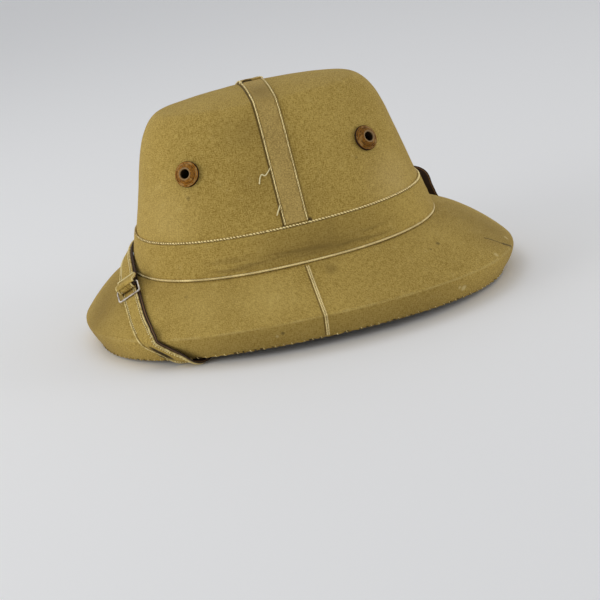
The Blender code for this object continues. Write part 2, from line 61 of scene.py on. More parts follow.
camera = bpy.data.objects.new("camera", bpy.data.cameras.new("camera"))
scene.collection.objects.link(camera)
camera.data.lens = CAMERA_LENS
camera.data.sensor_width = 36
camera.data.clip_start = 0.05
aim = (CAMERA_AIM - CAMERA_SPOT).normalized()
upright = aim.to_track_quat("-Z", "Y").to_matrix().to_4x4()
turn = Matrix.Rotation(CAMERA_ROLL, 4, "Z")
camera.matrix_world = HAT @ Matrix.Translation(CAMERA_SPOT) @ upright @ turn
scene.camera = camera

world = bpy.data.worlds.new("surround")
scene.world = world
world.use_nodes = True
backdrop = world.node_tree.nodes["Background"]
backdrop.inputs["Color"].default_value = (*SURROUND, 1)
backdrop.inputs["Strength"].default_value = SURROUND_STRENGTH


def lamp(name, spot, aim_at, size, watts, colour):
    """Large square soft lamp."""
    light = bpy.data.objects.new(name, bpy.data.lights.new(name, "AREA"))
    light.data.size = size
    light.data.energy = watts
    light.data.color = colour
    light.location = spot
    light.rotation_euler = (Vector(aim_at) - Vector(spot)).to_track_quat("-Z", "Y").to_euler()
    scene.collection.objects.link(light)


lamp("lamp_rear", spot=(-0.45, 1.75, 0.38), aim_at=(0, 0, 0.08), size=1.0, watts=11.5,
     colour=(1.0, 0.98, 0.94))
lamp("lamp_front", spot=(-0.6, -1.8, 0.22), aim_at=(0, 0, 0.08), size=0.9, watts=10.0,
     colour=(1.0, 0.98, 0.95))
lamp("lamp_over", spot=(0.5, 0.7, 1.6), aim_at=(0, 0, 0.05), size=1.3, watts=5.0, colour=(1.0, 0.99, 0.97))

floor_mesh = bpy.data.meshes.new("floor")
bm = bmesh.new()
bmesh.ops.create_grid(bm, x_segments=1, y_segments=1, size=FLOOR_SIZE / 2)
bm.to_mesh(floor_mesh)
bm.free()
floor = bpy.data.objects.new("floor", floor_mesh)
scene.collection.objects.link(floor)
floor_paint = bpy.data.materials.new("floor_paint")
floor_paint.use_nodes = True
paint = floor_paint.node_tree.nodes["Principled BSDF"]
paint.inputs["Base Color"].default_value = (*FLOOR_PAINT, 1)
paint.inputs["Roughness"].default_value = FLOOR_ROUGHNESS
floor_mesh.materials.append(floor_paint)


# ---------------------------------------------------------------- Crown
# A hollow pith shell, flat on top and tapered to the sides, pressed to shape and covered with a fine
# khaki drill that is pulled smooth over it. Inside it has a plain cotton lining glued to the pith.
CROWN_HALF_LENGTH = 115 * MM
CROWN_HALF_WIDTH = 95 * MM
CROWN_END_LEAN = math.tan(math.radians(14.6))
CROWN_SIDE_LEAN = math.tan(math.radians(22.1))
CROWN_PLAN_POWER = 2.27
CROWN_HEIGHT = 117.6 * MM
CROWN_CORNER = 108.4 * MM
SHOULDER_DROP = 31 * MM
SHOULDER_REACH = 0.17
CROWN_WALL = 6.5 * MM
CLEAR = 0.3 * MM
DRILL_LIT = (0.505, 0.356, 0.090)
DRILL_DEEP = (0.275, 0.175, 0.030)
DRILL_PALE = (0.62, 0.50, 0.22)
# The next colour is painted shade; the one after it is used both for real dirt and for painted shadow lines
# and slits.
SHADE = (0.215, 0.140, 0.030)
GRIME_AND_SHADE = (0.060, 0.038, 0.014)
LINING = (0.30, 0.235, 0.12)
# Paler drill, painted on as light over the crown's lower rear and front sides.
PAINTED_LIGHT_REAR = (0.66, 0.49, 0.17)
PAINTED_LIGHT_FRONT = (0.66, 0.49, 0.20)
THREAD_PITCH = 0.62 * MM
THREAD_WANDER = 1.6 * MM
WANDERS_PER_METRE = 60
SLUB_WIDTH = 0.7 * MM
WARP_SLUB = 3.6 * MM
WEFT_SLUB = 3 * MM
SPECKLE = 0.75 * MM
MOTTLE = 7 * MM
FADE = 50 * MM
SLUB_SHARE = 2.0
SPECKLE_SHARE = 3.0
MOTTLE_SHARE = 0.45
FADE_SHARE = 0.8
WEAVE_SHARE = 0.3
WORN_SHARE = 0.35
CLOTH_RELIEF = 0.16 * MM


def node(tree, kind, settings=None, **inputs):
    """Shader node of one kind; the first output. Inputs named in_N are sockets by number."""
    made = tree.nodes.new("ShaderNode" + kind)
    for key, value in (settings or {}).items():
        setattr(made, key, value)
    for key, value in inputs.items():
        socket = made.inputs[int(key[3:])] if key.startswith("in_") else made.inputs[key]
        if isinstance(value, bpy.types.NodeSocket):
            tree.links.new(value, socket)
        else:
            socket.default_value = value
    return made.outputs[0]


def calc(tree, operation, a, b=0.0, c=0.0):
    """One sum on shader values."""
    return node(tree, "Math", {"operation": operation}, in_0=a, in_1=b, in_2=c)


def times(tree, a, b):
    """Product of two shader values."""
    return calc(tree, "MULTIPLY", a, b)


def inverse(tree, share):
    """What is left of 1 after a share."""
    return calc(tree, "SUBTRACT", 1.0, share)


def tint(tree, low, high, share):
    """Colour between two, by a share from 0 to 1."""
    low = (*low, 1) if isinstance(low, tuple) else low
    high = (*high, 1) if isinstance(high, tuple) else high
    return node(tree, "MixRGB", None, Fac=share, Color1=low, Color2=high)


def stretched(tree, vector, scale, **inputs):
    """Noise on coordinates scaled by three numbers."""
    moved = node(tree, "Mapping", None, Vector=vector, Scale=scale)
    return node(tree, "TexNoise", None, Vector=moved, Scale=1.0, **inputs)


def grain(tree, vector, size, detail=3.0):
    """Noise with lumps of about one size all ways."""
    return stretched(tree, vector, (1 / size,) * 3, Detail=detail)


def ramp(tree, value, low, high):
    """0 below low and 1 above high."""
    return node(tree, "MapRange", {"interpolation_type": "SMOOTHSTEP"}, Value=value, in_1=low, in_2=high)


def object_place(tree):
    """Place in metres from the middle of the floor under the hat."""
    return tree.nodes.new("ShaderNodeTexCoord").outputs["Object"]


def separate(tree, vector):
    """The three parts of a vector."""
    node(tree, "SeparateXYZ", None, Vector=vector)
    return tuple(tree.nodes[-1].outputs)


def hat_axes(tree):
    """Separate x, y and z in the hat's own axes, in metres."""
    back = HAT.inverted()
    place = node(tree, "Mapping", None, Vector=object_place(tree), Location=back.translation,
                 Rotation=back.to_euler())
    return separate(tree, place)


def line_mask(tree, value, centre, inner, outer):
    """1 within inner of a centre value, fading to 0 at outer."""
    off = calc(tree, "ABSOLUTE", calc(tree, "SUBTRACT", value, centre))
    return inverse(tree, ramp(tree, off, inner, outer))


def cloth_place(tree):
    """Place on the cloth in metres: across the threads of the warp, then along them."""
    return node(tree, "UVMap", {"uv_map": "weave"})


def cloth_axes(tree):
    """Separate places across the warp and along it, in metres."""
    return separate(tree, cloth_place(tree))[:2]


def spot_mask(tree, spot, size, end=None, ragged=0.5):
    """1 at a point of the hat's own axes, or on the line from it to an end, fading to 0 at size."""
    place = object_place(tree)
    start = HAT @ (Vector(spot) * MM)
    if end:
        run = HAT @ (Vector(end) * MM) - start
        offset = node(tree, "VectorMath", {"operation": "SUBTRACT"}, in_0=place, in_1=start)
        node(tree, "VectorMath", {"operation": "DOT_PRODUCT"}, in_0=offset, in_1=run / run.length_squared)
        share = node(tree, "Clamp", None, Value=tree.nodes[-1].outputs["Value"])
        on_line = tree.nodes.new("ShaderNodeVectorMath")
        on_line.operation = "SCALE"
        on_line.inputs[0].default_value = run
        tree.links.new(share, on_line.inputs["Scale"])
        place_off = node(tree, "VectorMath", {"operation": "SUBTRACT"}, in_0=offset, in_1=on_line.outputs[0])
        node(tree, "VectorMath", {"operation": "LENGTH"}, in_0=place_off)
    else:
        node(tree, "VectorMath", {"operation": "DISTANCE"}, in_0=place, in_1=start)
    away = tree.nodes[-1].outputs["Value"]
    wobble = node(tree, "TexNoise", None, Vector=place, Scale=1 / (0.45 * size * MM), Detail=3.0)
    away = calc(tree, "MULTIPLY_ADD", wobble, ragged * size * MM, away)
    # A small mark has a firm core, and a large one fades from its middle.
    core = 0.6 if size < 10 else 0.05
    return inverse(tree, ramp(tree, away, size * MM * core, size * MM * 1.35))


def blank_finish(name, roughness, sheen=0.0, metallic=0.0):
    """New material and its node tree. What is the same all over stays on the shader's own sockets."""
    made = bpy.data.materials.new(name)
    made.use_nodes = True
    shader = made.node_tree.nodes["Principled BSDF"]
    shader.inputs["Roughness"].default_value = roughness
    shader.inputs["Metallic"].default_value = metallic
    shader.inputs["Sheen Weight"].default_value = sheen
    shader.inputs["Sheen Roughness"].default_value = 0.5
    shader.inputs["Specular IOR Level"].default_value = 0.25
    return made, made.node_tree


def finish_with(tree, colour, height, depth, strength):
    """Colour and a fine relief on the shader."""
    shader = tree.nodes["Principled BSDF"]
    tree.links.new(colour, shader.inputs["Base Color"])
    bump = node(tree, "Bump", None, Height=height, Distance=depth, Strength=strength)
    tree.links.new(bump, shader.inputs["Normal"])


def weave_height(tree, place, pitch):
    """Plain weave: threads in both directions that pass over and under each other."""
    wander = stretched(tree, place, (WANDERS_PER_METRE,) * 3, Detail=1.0)
    place = node(tree, "VectorMath", {"operation": "MULTIPLY_ADD"}, in_0=wander,
                 in_1=(THREAD_WANDER, THREAD_WANDER, 0.0), in_2=place)
    x, y, _ = separate(tree, place)
    turns = math.pi / pitch
    ridge_x = calc(tree, "ABSOLUTE", calc(tree, "SINE", times(tree, x, turns)))
    ridge_y = calc(tree, "ABSOLUTE", calc(tree, "SINE", times(tree, y, turns)))
    side_x = calc(tree, "COSINE", calc(tree, "MULTIPLY_ADD", x, turns, math.pi / 2))
    side_y = calc(tree, "COSINE", calc(tree, "MULTIPLY_ADD", y, turns, math.pi / 2))
    over = calc(tree, "MULTIPLY_ADD", times(tree, side_x, side_y), 0.45, 0.55)
    under = calc(tree, "SUBTRACT", 1.1, over)
    return calc(tree, "MAXIMUM", times(tree, ridge_x, over), times(tree, ridge_y, under))


def drill_cloth(name, lit=DRILL_LIT, deep=DRILL_DEEP, pale=DRILL_PALE, marks=(), extra=None):
    """Fine woven drill: threads, slubs, mottling and fading, then marks as (point, size, colour,
    strength, and the end of a long one); some marks are stains and some are painted light and shade."""
    made, tree = blank_finish(name, 0.92, sheen=0.02)
    cloth = cloth_place(tree)
    body = object_place(tree)
    weave = weave_height(tree, cloth, THREAD_PITCH)
    warp_slub = stretched(tree, cloth, (1 / SLUB_WIDTH, 1 / WARP_SLUB, 1), Detail=1.0)
    weft_slub = stretched(tree, cloth, (1 / WEFT_SLUB, 1 / SLUB_WIDTH, 1), Detail=1.0)
    slub = calc(tree, "ADD", warp_slub, weft_slub)
    speckle = grain(tree, cloth, SPECKLE, 2.0)
    mottle = grain(tree, body, MOTTLE)
    fade = grain(tree, body, FADE, 2.0)
    base = 0.45 - SLUB_SHARE - 0.5 * (SPECKLE_SHARE + MOTTLE_SHARE + FADE_SHARE)
    level = calc(tree, "MULTIPLY_ADD", weave, WEAVE_SHARE, base)
    shades = ((slub, SLUB_SHARE), (speckle, SPECKLE_SHARE), (mottle, MOTTLE_SHARE), (fade, FADE_SHARE))
    for value, share in shades:
        level = calc(tree, "MULTIPLY_ADD", value, share, level)
    colour = tint(tree, deep, lit, ramp(tree, level, -0.25, 1.25))
    worn = ramp(tree, calc(tree, "ADD", mottle, speckle), 1.14, 1.5)
    colour = tint(tree, colour, pale, times(tree, worn, WORN_SHARE))
    if extra:
        colour = extra(tree, colour)
    for spot, size, paint, strength, *end in marks:
        mask = spot_mask(tree, spot, size, *end)
        colour = tint(tree, colour, paint, times(tree, mask, strength))
    height = calc(tree, "MULTIPLY_ADD", slub, 0.8, weave)
    finish_with(tree, colour, height, CLOTH_RELIEF, 0.8)
    return made


def plain_cotton(name, colour):
    """Plain cotton of one colour, a little uneven, for lining and sewing thread."""
    made, tree = blank_finish(name, 0.9)
    body = object_place(tree)
    fine = grain(tree, body, 0.8 * MM, 2.0)
    level = calc(tree, "MULTIPLY_ADD", fine, 0.5, times(tree, grain(tree, body, 40 * MM), 0.5))
    dark = tuple(0.6 * c for c in colour)
    finish_with(tree, tint(tree, dark, colour, level), fine, 0.1 * MM, 0.4)
    return made


def plan_unit(angle, power):
    """Unit superellipse, from the wearer's left towards the back."""
    c, s = math.cos(angle), math.sin(angle)
    return (math.copysign(abs(c) ** (2 / power), c), math.copysign(abs(s) ** (2 / power), s))


def crown_side(angle, height, out=0.0):
    """The crown's leaning wall at a height, moved outwards by out."""
    x, y = plan_unit(angle, CROWN_PLAN_POWER)
    half_width = CROWN_HALF_WIDTH - height * CROWN_SIDE_LEAN + out
    half_length = CROWN_HALF_LENGTH - height * CROWN_END_LEAN + out
    return Vector((half_width * x, half_length * y, height))


def crown_point(angle, run, out=0.0):
    """Run 0 to 1 climbs the side, 1 to 2 turns the shoulder and 2 to 3 crosses the top."""
    side_top = CROWN_CORNER - SHOULDER_DROP
    if run <= 1:
        return crown_side(angle, side_top * run, out)
    corner = crown_side(angle, CROWN_CORNER, out)

    def top(share):
        """The slightly domed top, from its middle at 0 to the crown's corner at 1."""
        height = CROWN_HEIGHT - (CROWN_HEIGHT - CROWN_CORNER) * share ** 2
        return Vector((corner.x * share, corner.y * share, height + out))

    if run >= 2:
        return top((1 - SHOULDER_REACH) * (3 - run))
    bend = Vector((corner.x, corner.y, corner.z + out))
    lower = crown_side(angle, side_top, out).lerp(bend, run - 1)
    upper = bend.lerp(top(1 - SHOULDER_REACH), run - 1)
    return lower.lerp(upper, run - 1)


SAMPLED_SHARES = (0.1, 0.35, 0.6, 0.85)     # of the way round, where lengths are measured


def wrapped_grid(columns, rows, place, centres=(0.5,)):
    """Grid carried onto a surface by place(share, row). Its UV map holds metres along the cloth,
    counted across from the nearest of some centre lines, and along from the first row."""
    bm = bmesh.new()
    weave = bm.loops.layers.uv.new("weave")
    bmesh.ops.create_grid(bm, x_segments=columns, y_segments=rows, size=0.5)
    bm.verts.index_update()
    bm.faces.index_update()
    width = columns + 1
    spots = []
    for vert in bm.verts:
        row, column = divmod(vert.index, width)
        vert.co = place(column / columns, row)
        spots.append(vert.co.copy())
    around = [sum((spots[row * width + i + 1] - spots[row * width + i]).length for i in range(columns))
              for row in range(rows + 1)]
    along = [0.0]
    sample = [round(columns * share) for share in SAMPLED_SHARES]
    for row in range(rows):
        steps = [(spots[(row + 1) * width + i] - spots[row * width + i]).length for i in sample]
        along.append(along[-1] + sum(steps) / len(steps))
    for face in bm.faces:
        middle = (face.index % columns + 0.5) / columns
        centre = min(centres, key=lambda share: abs(share - middle))
        for loop in face.loops:
            row, column = divmod(loop.vert.index, width)
            loop[weave].uv = ((column / columns - centre) * around[row], along[row])
    return bm


def close_seams(bm):
    """Joins the edges that meet where a grid closes on itself, and points its faces outwards."""
    bmesh.ops.remove_doubles(bm, verts=bm.verts, dist=0.002 * MM)
    bmesh.ops.recalc_face_normals(bm, faces=bm.faces)


def soften(bm, size, depth, seed):
    """Small hollows and swellings of a surface stretched over pith."""
    bm.normal_update()
    moved = [(vert, vert.normal * (depth * noise.noise(vert.co / size + Vector((seed, 0, 0)))))
             for vert in bm.verts]
    for vert, step in moved:
        vert.co += step


def add_piece(name, bm, finishes, replaces=(), sharp_degrees=180):
    """Finished piece in its place on the hat. Edges sharper than sharp_degrees stay crisp."""
    mesh = bpy.data.meshes.new(name)
    bm.to_mesh(mesh)
    bm.free()
    mesh.transform(HAT)
    mesh.shade_smooth()
    if sharp_degrees < 180:
        mesh.set_sharp_from_angle(angle=math.radians(sharp_degrees))
    for made in finishes:
        mesh.materials.append(made)
    piece = bpy.data.objects.new(name, mesh)
    scene.collection.objects.link(piece)
    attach(piece, "root")
    if replaces:
        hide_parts(*replaces)
    return piece


def bore_out(piece, places, radius, depth):
    """Round holes cut through a piece."""
    for spot, normal in places:
        bm = bmesh.new()
        facing = Vector(normal).to_track_quat("Z", "Y").to_matrix().to_4x4()
        bmesh.ops.create_cone(bm, cap_ends=True, segments=32, radius1=radius, radius2=radius,
                              depth=depth, matrix=HAT @ Matrix.Translation(spot) @ facing)
        mesh = bpy.data.meshes.new("bore")
        bm.to_mesh(mesh)
        bm.free()
        bore = bpy.data.objects.new("bore", mesh)
        scene.collection.objects.link(bore)
        cut = piece.modifiers.new("cut", "BOOLEAN")
        cut.solver = "EXACT"
        cut.object = bore
        bpy.context.view_layer.update()
        whole = bpy.data.meshes.new_from_object(piece.evaluated_get(bpy.context.evaluated_depsgraph_get()))
        piece.modifiers.clear()
        piece.data = whole
        bpy.data.objects.remove(bore)


CROWN_COLUMNS = 192
SIDE_STEPS = 26
TOP_STEPS = 22
LINING_STEPS = 10
SHOULDER_ROWS = 18         # rows of the shoulder whose threads still run up from the side
inner_runs = [3 - i / LINING_STEPS for i in range(3 * LINING_STEPS)]
outer_runs = [i / SIDE_STEPS for i in range(2 * SIDE_STEPS + 1)]
outer_runs += [2 + i / TOP_STEPS for i in range(1, TOP_STEPS + 1)]
crown_stations = [(run, -CROWN_WALL) for run in inner_runs]
crown_stations += [(0.0, -CROWN_WALL), (0.0, -0.4 * MM)] + [(run, 0.0) for run in outer_runs]
flat_top_row = len(inner_runs) + 2 + SIDE_STEPS + SHOULDER_ROWS     # from here they run straight across


def crown_place(share, row):
    """From the middle of the lining down to the foot, and up the outside to the middle of the top."""
    run, out = crown_stations[row]
    point = crown_point(math.tau * share, run, out)
    if run == 0.0:
        point.z = CLEAR / 2
    return point


VENT_ANGLE_FRONT = math.radians(39.7)
VENT_ANGLE_REAR = math.radians(40.4)
VENT_HEIGHT_FRONT = 69.4 * MM
VENT_HEIGHT_REAR = 72.2 * MM
VENT_HOLE = 4.7 * MM
VENT_HOLE_DEPTH = 30 * MM
VENT_STEP = 0.001


def vent_frame(angle, height):
    """Point on the crown's wall and the direction that faces out of it."""
    spot = crown_side(angle, height)
    around = crown_side(angle + VENT_STEP, height) - spot
    upward = crown_side(angle, height + VENT_STEP * CROWN_HALF_WIDTH) - spot
    return spot, around.cross(upward).normalized()


vent_spots = {
    "right_rear": vent_frame(math.pi - VENT_ANGLE_REAR, VENT_HEIGHT_REAR),
    "right_front": vent_frame(math.pi + VENT_ANGLE_FRONT, VENT_HEIGHT_FRONT),
    "left_rear": vent_frame(VENT_ANGLE_REAR, VENT_HEIGHT_REAR),
    "left_front": vent_frame(-VENT_ANGLE_FRONT, VENT_HEIGHT_FRONT),
}


STRIP_SHADOW_AT = 9.3 * MM       # either side of the line from ear to ear


def strip_edge_shadow(tree, colour):
    """Painted shadow along both edges of the strip over the crown, stronger at its rear edge."""
    across = hat_axes(tree)[1]
    edge = line_mask(tree, calc(tree, "ABSOLUTE", across), STRIP_SHADOW_AT, 0.3 * MM, 1.1 * MM)
    strength = calc(tree, "MULTIPLY_ADD", ramp(tree, across, -1 * MM, 1 * MM), 0.45, 0.35)
    return tint(tree, colour, GRIME_AND_SHADE, times(tree, edge, strength))


# Painted light on the crown's lower rear and front sides, then broad painted shade on its right side beside
# the strip, then small dark spots.
crown_marks = [
    ((-48.0, 88.0, 42.0), 40, PAINTED_LIGHT_REAR, 0.30),
    ((-58.0, -80.0, 35.0), 36, PAINTED_LIGHT_FRONT, 0.34),
    ((-60.0, 20.0, 95.0), 30, SHADE, 0.42),
    ((-72.0, 14.0, 58.0), 28, SHADE, 0.30),
    ((-70.0, -16.0, 40.0), 22, SHADE, 0.22),
    ((-84.2, 9.4, 26.1), 2.2, GRIME_AND_SHADE, 0.85),
    ((-83.6, -10.1, 27.4), 2.4, GRIME_AND_SHADE, 0.9),
    ((-56.3, 69.3, 56.1), 2.0, GRIME_AND_SHADE, 0.35),
    ((-62.0, -55.1, 59.1), 1.4, GRIME_AND_SHADE, 0.4),
]
crown_drill = drill_cloth("crown_drill", marks=crown_marks, extra=strip_edge_shadow)
crown_lining = plain_cotton("crown_lining", LINING)
bm = wrapped_grid(CROWN_COLUMNS, len(crown_stations) - 1, crown_place, centres=(0.0, 0.5, 1.0))
weave = bm.loops.layers.uv["weave"]
for face in bm.faces:
    row = face.index // CROWN_COLUMNS
    if row < len(inner_runs):
        face.material_index = 1
    if row >= flat_top_row:
        for loop in face.loops:
            loop[weave].uv = loop.vert.co.yx
close_seams(bm)
soften(bm, size=34 * MM, depth=0.45 * MM, seed=3.0)
soften(bm, size=9 * MM, depth=0.12 * MM, seed=8.0)
crown = add_piece("crown_cover", bm, [crown_drill, crown_lining], ["crown"])
bore_out(crown, vent_spots.values(), VENT_HOLE, VENT_HOLE_DEPTH)


# ---------------------------------------------------------------- Brim
# A thick pith ring that slopes down all round and ends in a deep rim face. One piece of the same drill
# covers it and is folded under the rim's foot, where long stitches pinch the fold to the underside.
BRIM_HALF_WIDTH = 140 * MM
BRIM_FRONT = 163.3 * MM
BRIM_REAR = 168.9 * MM
BRIM_MIDDLE_Y = -8.4 * MM
BRIM_PLAN_POWER = 2.13
DROP_SIDE = 27 * MM
DROP_ENDS = 33.8 * MM
DROP_FRONT_EXTRA = 2.2 * MM
BULGE_SIDE = -0.5 * MM
BULGE_ENDS = 6.3 * MM
RIM_HEIGHT = 18 * MM
RIM_TUCK = 8.5 * MM
RIM_TUCK_FRONT = 4 * MM
RIM_BELLY_FRONT = 3.4 * MM
RIM_BULGE = 2.6 * MM
# Paler drill, painted on as light over the brim's right side.
PAINTED_LIGHT_BRIM = (0.66, 0.49, 0.15)
BRIM_INNER_DEPTH = 12 * MM
BRIM_COLUMNS = 384
BRIM_TOP_STEPS = 24
CREASE_STEPS = 6
RIM_STEPS = 14
UNDER_STEPS = 5
CREASE_FROM = 0.975        # share of the brim's top
CREASE_TO = 0.09           # share of the rim's face
RIM_TO = 0.97              # share of the rim's face, where its foot turns under
UNDER_STATIONS = ((0.82, 16 * MM), (0.55, 14 * MM), (0.28, 13 * MM))     # share of the top, depth below it


def rim_plan(angle, out=0.0):
    """The rim's outline from above."""
    x, y = plan_unit(angle, BRIM_PLAN_POWER)
    reach = BRIM_FRONT if y < 0 else BRIM_REAR
    return Vector(((BRIM_HALF_WIDTH + out) * x, (reach + out) * y + BRIM_MIDDLE_Y, 0))


def rim_drop(angle):
    """How far the rim's upper edge lies below the crown's foot."""
    s = math.sin(angle)
    return DROP_SIDE + (DROP_ENDS - DROP_SIDE) * s * s - DROP_FRONT_EXTRA * s


def brim_top(angle, share, lift=0.0):
    """Share 0 is the crown's foot and 1 the rim's upper edge."""
    s = math.sin(angle)
    bulge = BULGE_SIDE + (BULGE_ENDS - BULGE_SIDE) * s * s
    point = crown_side(angle, 0.0).lerp(rim_plan(angle), share)
    point.z = lift - rim_drop(angle) * share + bulge * 4 * share * (1 - share)
    return point


def rim_face(angle, share, out=0.0):
    """Share 0 is the rim's upper edge and 1 its foot."""
    front = max(0.0, -math.sin(angle))
    tuck = RIM_TUCK + RIM_TUCK_FRONT * front ** 8
    belly = RIM_BELLY_FRONT * front ** 12 * 4 * share * (1 - share)
    point = rim_plan(angle, out + belly - tuck * share)
    point.z = -rim_drop(angle) - RIM_HEIGHT * share
    return point


def brim_stations():
    """Functions of the angle, from the head opening over the top, the crease, the rim and the underside."""
    opening = [lambda a, drop=drop: crown_side(a, 0.0, -CROWN_WALL) - Vector((0, 0, drop))
               for drop in (BRIM_INNER_DEPTH, 6 * MM, CLEAR / 2)]
    top = [lambda a, s=i / BRIM_TOP_STEPS: brim_top(a, s) for i in range(BRIM_TOP_STEPS)]

    def crease(angle, t):
        """The rounded edge between the brim's top and the rim."""
        before, corner = brim_top(angle, CREASE_FROM), brim_top(angle, 1.0)
        after = rim_face(angle, CREASE_TO)
        return before.lerp(corner, t).lerp(corner.lerp(after, t), t)

    edge = [lambda a, t=i / CREASE_STEPS: crease(a, t) for i in range(CREASE_STEPS + 1)]
    shares = [CREASE_TO + (RIM_TO - CREASE_TO) * i / RIM_STEPS for i in range(1, RIM_STEPS + 1)]
    rim = [lambda a, s=s: rim_face(a, s, RIM_BULGE * s * (1 - s)) for s in shares]
    foot = [lambda a, s=share, k=inwards: rim_face(a, s, -k)
            for share, inwards in ((0.995, 0.35 * MM), (1.0, 1.2 * MM), (1.0, 3.4 * MM), (1.0, 5.7 * MM))]
    under = [lambda a, s=share, k=thick: brim_top(a, s, -k) for share, thick in UNDER_STATIONS]
    chain = [foot[-1]] + under + [opening[0]]
    smooth = [lambda a, p=low, q=high, t=i / UNDER_STEPS: p(a).lerp(q(a), t)
              for low, high in zip(chain, chain[1:]) for i in range(1, UNDER_STEPS + 1)]
    return opening + top + edge + rim + foot + smooth


stations = brim_stations()
CREASE_ROW = 3 + BRIM_TOP_STEPS + CREASE_STEPS // 2
FOOT_ROW = 3 + BRIM_TOP_STEPS + CREASE_STEPS + 1 + RIM_STEPS
UNDER_ROW = FOOT_ROW + 2
lengths = [0.0]
for low, high in zip(stations, stations[1:]):
    steps = [(high(math.tau * share) - low(math.tau * share)).length for share in SAMPLED_SHARES]
    lengths.append(lengths[-1] + sum(steps) / len(steps))
CREASE_DOWN = lengths[CREASE_ROW]
FOOT_DOWN = lengths[FOOT_ROW]


def brim_wear_and_shade(tree, colour):
    """Cloth rubbed pale along the crease, painted shade over the rim face at the sides, grime along the
    rim's foot, and a painted shadow line beside the ear seams."""
    _, down = cloth_axes(tree)
    rub = grain(tree, object_place(tree), 12 * MM)
    line = line_mask(tree, down, CREASE_DOWN, 0.2 * MM, 1.6 * MM)
    worn = times(tree, line, ramp(tree, rub, 0.2, 0.7))
    colour = tint(tree, colour, DRILL_PALE, times(tree, worn, 0.22))
    x, y, _ = hat_axes(tree)
    # Painted shade over the rim face below the crease, at the sides.
    under = times(tree, ramp(tree, down, CREASE_DOWN + 0.2 * MM, CREASE_DOWN + 1.4 * MM),
                  line_mask(tree, y, 0.0, 70 * MM, 125 * MM))
    colour = tint(tree, colour, SHADE, times(tree, under, 0.36))
    low = ramp(tree, down, FOOT_DOWN - 2.6 * MM, FOOT_DOWN + 0.4 * MM)
    soiled = times(tree, low, ramp(tree, rub, 0.3, 0.66))
    colour = tint(tree, colour, GRIME_AND_SHADE, times(tree, soiled, 0.45))
    # Painted shadow line beside each ear seam.
    seam_shadow = line_mask(tree, y, 1.7 * MM, 0.25 * MM, 0.8 * MM)
    out = ramp(tree, calc(tree, "ABSOLUTE", x), CROWN_HALF_WIDTH, CROWN_HALF_WIDTH + 2 * MM)
    seam_shadow = times(tree, seam_shadow, out)
    return tint(tree, colour, GRIME_AND_SHADE, times(tree, seam_shadow, 0.55))


brim_marks = [
    # Painted light over the brim's right side.
    ((-98.0, 78.0, -14.0), 34, PAINTED_LIGHT_BRIM, 0.26),
    ((-112.0, 34.0, -14.0), 34, PAINTED_LIGHT_BRIM, 0.32),
    # Painted shade over the rear and front tips, and on the brim beside the band.
    ((-25.0, 148.0, -20.0), 60, SHADE, 0.75),
    ((-45.0, -150.0, -22.0), 50, SHADE, 0.58),
    ((-96.0, -12.0, -2.0), 16, SHADE, 0.35),
    # Painted shadow in a pleat at the front.
    ((-66.0, -138.0, -21.0), 1.2, GRIME_AND_SHADE, 0.55, (-61.5, -152.0, -30.4)),
    ((-61.5, -152.0, -30.4), 1.8, GRIME_AND_SHADE, 0.75, (-57.0, -159.0, -35.2)),
    # Small pale and dark spots.
    ((-111.1, -105.5, -40.5), 3.0, DRILL_PALE, 0.7),
    ((-113.5, -101.5, -38.0), 2.0, DRILL_PALE, 0.6),
    ((-82.8, -140.0, -30.6), 2.6, DRILL_PALE, 0.6),
    ((-46.2, -159.2, -30.6), 2.6, DRILL_PALE, 0.6),
    ((-86.9, -97.6, -11.0), 2.2, GRIME_AND_SHADE, 0.55),
    ((-93.8, -90.3, -12.1), 1.4, GRIME_AND_SHADE, 0.4),
    ((-133.9, 31.0, -34.1), 1.8, GRIME_AND_SHADE, 0.6),
    ((-131.9, 35.0, -35.5), 1.8, DRILL_PALE, 0.5),
    ((-84.4, 87.6, -6.9), 2.0, GRIME_AND_SHADE, 0.25),
    # Painted shadow beside the right ear seam.
    ((-104.0, -15.0, -6.5), 6, SHADE, 0.5),
]


def stand_on_floor(bm):
    """Brings what would sink below the floor up to it."""
    for vert in bm.verts:
        spot = HAT @ vert.co
        if spot.z < 0:
            spot.z = 0
            vert.co = HAT.inverted() @ spot


brim_drill = drill_cloth("brim_drill", marks=brim_marks, extra=brim_wear_and_shade)
brim_lining = plain_cotton("brim_lining", LINING)
bm = wrapped_grid(BRIM_COLUMNS, len(stations) - 1, lambda share, row: stations[row](math.tau * share),
                  centres=(0.0, 0.5, 1.0))
for face in bm.faces:
    row = face.index // BRIM_COLUMNS
    face.material_index = int(row >= UNDER_ROW or row < 2)
close_seams(bm)
soften(bm, size=40 * MM, depth=0.5 * MM, seed=12.0)
soften(bm, size=12 * MM, depth=0.16 * MM, seed=17.0)
stand_on_floor(bm)
add_piece("brim_cover", bm, [brim_drill, brim_lining], ["brim"])


# ---------------------------------------------------------------- Hat band
# A straight band of the same drill, folded under along both edges and sewn round the crown's foot.
# It is pulled tight, with soft creases that run along it.
BAND_FOOT = 1.5 * MM
BAND_TOP = 25.4 * MM
BAND_WALL = 1.4 * MM
BAND_COLUMNS = 320
BAND_ROWS = 22
BAND_ROLL = 0.8 * MM
BAND_ROLL_DEPTH = 0.55 * MM
BAND_CREASES = (       # height, depth outwards, spread
    (10.5 * MM, -0.55 * MM, 2.4 * MM),
    (15.5 * MM, 0.25 * MM, 2.4 * MM),
)
BAND_CREASED_AT = 165      # degrees round from the wearer's left, over the back
BAND_CREASED_SPREAD = 26   # degrees
BAND_STREAK_DARK = (0.110, 0.066, 0.015)
BAND_STREAK_AT = 7.0 * MM    # up from the band's lower edge
BAND_STREAK_REACH = (45 * MM, 80 * MM)   # it fades between these, before and behind the ears


